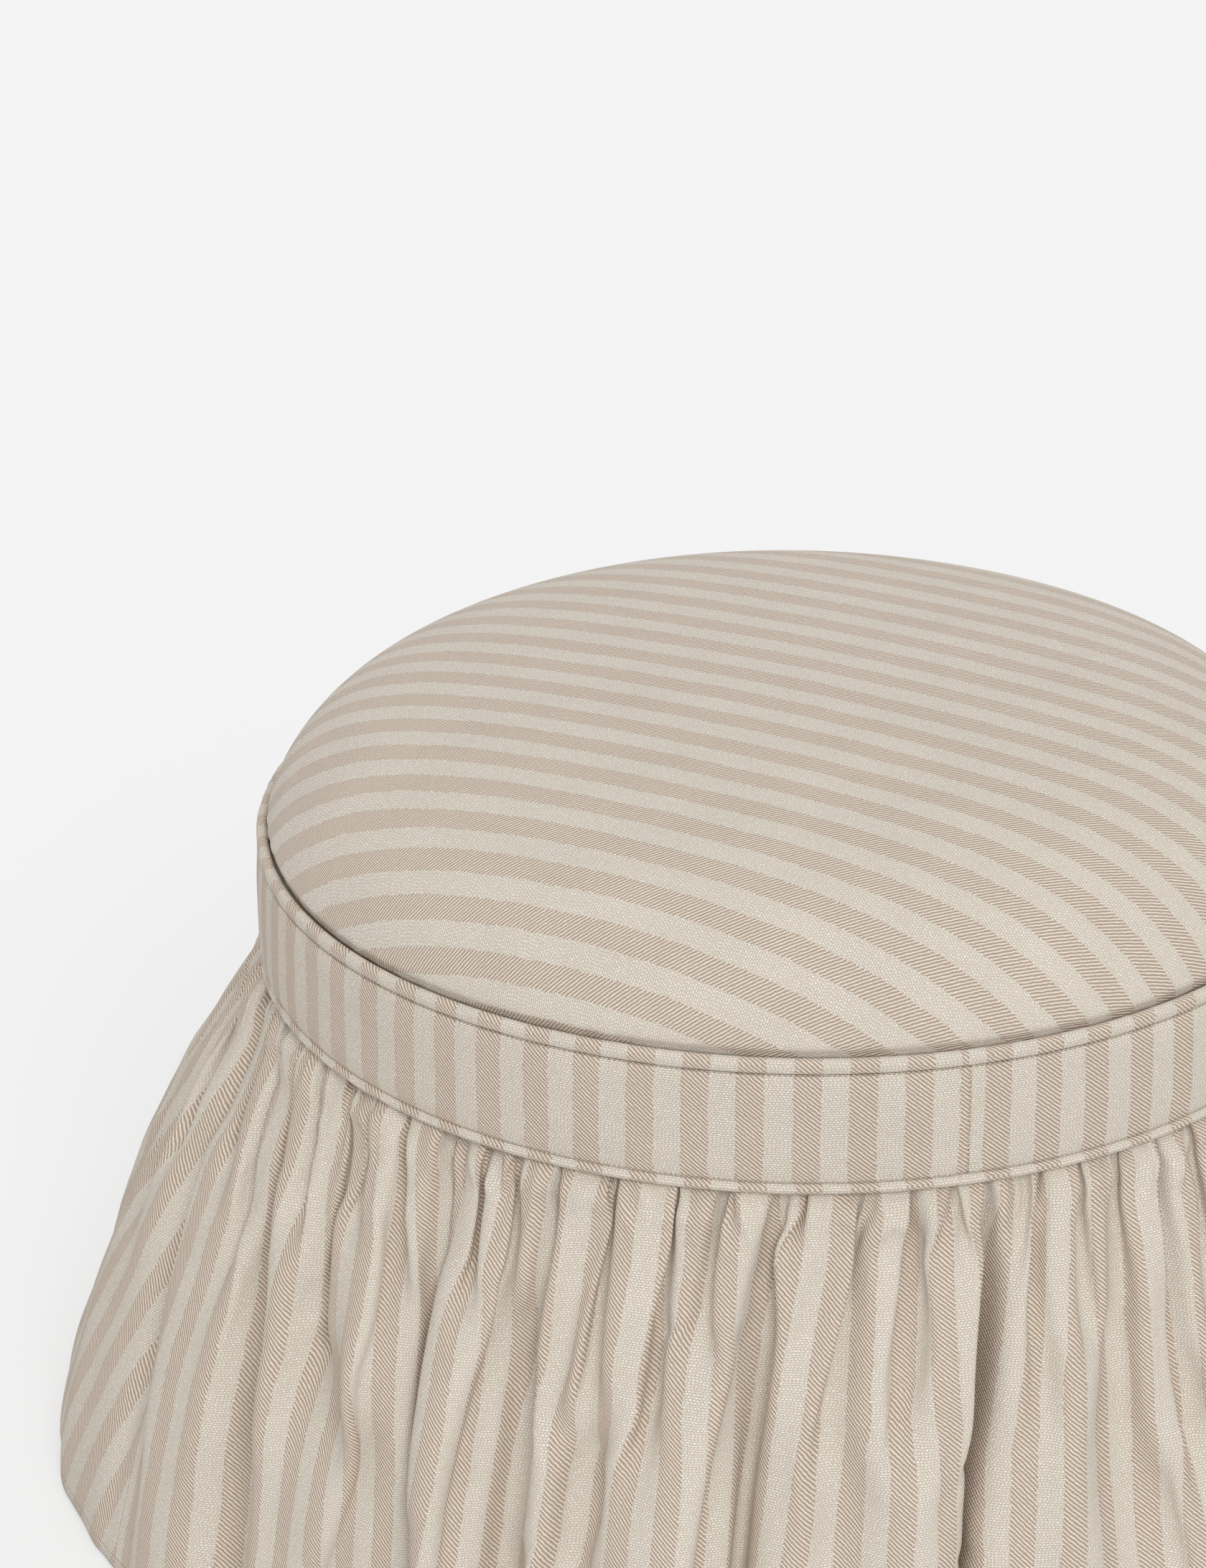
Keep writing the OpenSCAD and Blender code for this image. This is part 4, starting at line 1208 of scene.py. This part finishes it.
# %% Floor of the well and dust cloths
def disc_line(radius, z, thick):
    """Half section of a thin cloth disc with a soft edge, from the axis below, out and back."""
    r = np.concatenate([np.linspace(8, radius / MM - 3, 12), [radius / MM - 0.8, radius / MM]])
    low = np.stack([r * MM, np.full(len(r), z)], 1)
    high = np.stack([r[::-1] * MM, np.full(len(r), z + thick)], 1)
    high[0, 1] -= thick * 0.3
    return np.vstack([low, high])


def cloth_disc(name, node, body, slot, finish, radius, z, thick, sag=0.0, seed=1):
    """A round cloth, closed over its middle, that sags by a little between its edge and
    its centre."""
    def slack(a, v):
        """The sag times sin(pi r / radius), where r goes out and back along the section."""
        share = np.clip(np.where(v < radius, v, 2 * radius - v) / radius, 0, 1)
        return 0 * a, -sag * np.sin(math.pi * share) * (0.7 + 0.3 * waves(a, seed, 3, 9))

    line = disc_line(radius, z, thick)
    disc = turned(name, line, 200, closed=False, fans=["first", "last"], bump=slack)
    dress(disc, body, slot, finish, node)
    return disc


cloth_disc("well_floor_cloth", "storage_floor_cloth", "base", "lining_cotton", cotton_round,
           234.0 * MM, FLOOR_Z, LINING_T)
cloth_disc("drum_dust_cloth", "base_dust_cover", "base", "dust_cloth", dust_round,
           261.6 * MM, 8.05 * MM, 0.6 * MM, 0.25 * MM, 3)
cloth_disc("lid_dust_cloth", "lid_dust_cover", "lid", "dust_cloth", dust_round,
           248.9 * MM, LID_Z, 0.6 * MM, 0.0, 4)

# %% [markdown]
# ## Floor and light
#
# The photograph has a plain pale ground and even, soft light, which leaves only a faint
# shadow beside the hem. The pale world gives most of the light, and one broad sun from the
# front gives it a direction. The sun and the world add up to about one, so each colour
# renders about as it is written. The camera sees the floor darker and with a glow of its
# own, which keeps it plain and thins the shadow on it. The part gets the pale floor's light.

# %% Floor
def seen(n):
    """One for rays from the camera and for reflected ones, zero for the light on the part."""
    path = n.add("LightPath").outputs
    return n.math("MAXIMUM", n.math("MAXIMUM", path["Is Camera Ray"], path["Is Glossy Ray"]),
                  path["Is Transmission Ray"])


FLOOR_GLOW = 0.595
PALE_GROUND = srgb(224, 224, 224), srgb(226, 226, 226)
GROUND_TO_CAMERA = srgb(160, 160, 160)
floor_points = np.array([[[-9, -6, 0], [-9, 14, 0]], [[9, -6, 0], [9, 14, 0]]], float)
floor = skin("floor", floor_points)
paint, n, shader = material("floor_paint", Roughness=0.95, Specular_IOR_Level=0.0)
ground = n.mix(n.noise(n.object_place(), 3.0), *PALE_GROUND)
n.feed(shader, {"Base Color": n.mix(seen(n), ground, GROUND_TO_CAMERA),
                "Emission Color": srgb(250, 250, 250),
                "Emission Strength": n.times(seen(n), FLOOR_GLOW)})
floor.data.materials.append(paint)
print("the floor is", floor_points[1, 0, 0] - floor_points[0, 0, 0], "m wide")

# %% World and sun
SKY = 0.8
SUN_TURN, SUN_HEIGHT, SUN_SPREAD = 12, 37, 25
SUN_STRENGTH = 1.2
world = bpy.data.worlds.new("studio")
world.use_nodes = True
bpy.context.scene.world = world
w = Nodes(world.node_tree)
sky = world.node_tree.nodes["Background"].inputs
w.feed(sky, {"Color": srgb(243, 243, 243), "Strength": w.times_plus(seen(w), 1.0 - SKY, SKY)})

# The sun's angles are from the camera's side round the object, and above the floor
key = bpy.data.objects.new("key", bpy.data.lights.new("key", "SUN"))
bpy.context.scene.collection.objects.link(key)
key.data.energy = SUN_STRENGTH
key.data.angle = math.radians(SUN_SPREAD)
key.rotation_euler = (math.radians(90 - SUN_HEIGHT), 0, math.radians(SUN_TURN))
view = bpy.context.scene.view_settings
view.view_transform = "Standard"
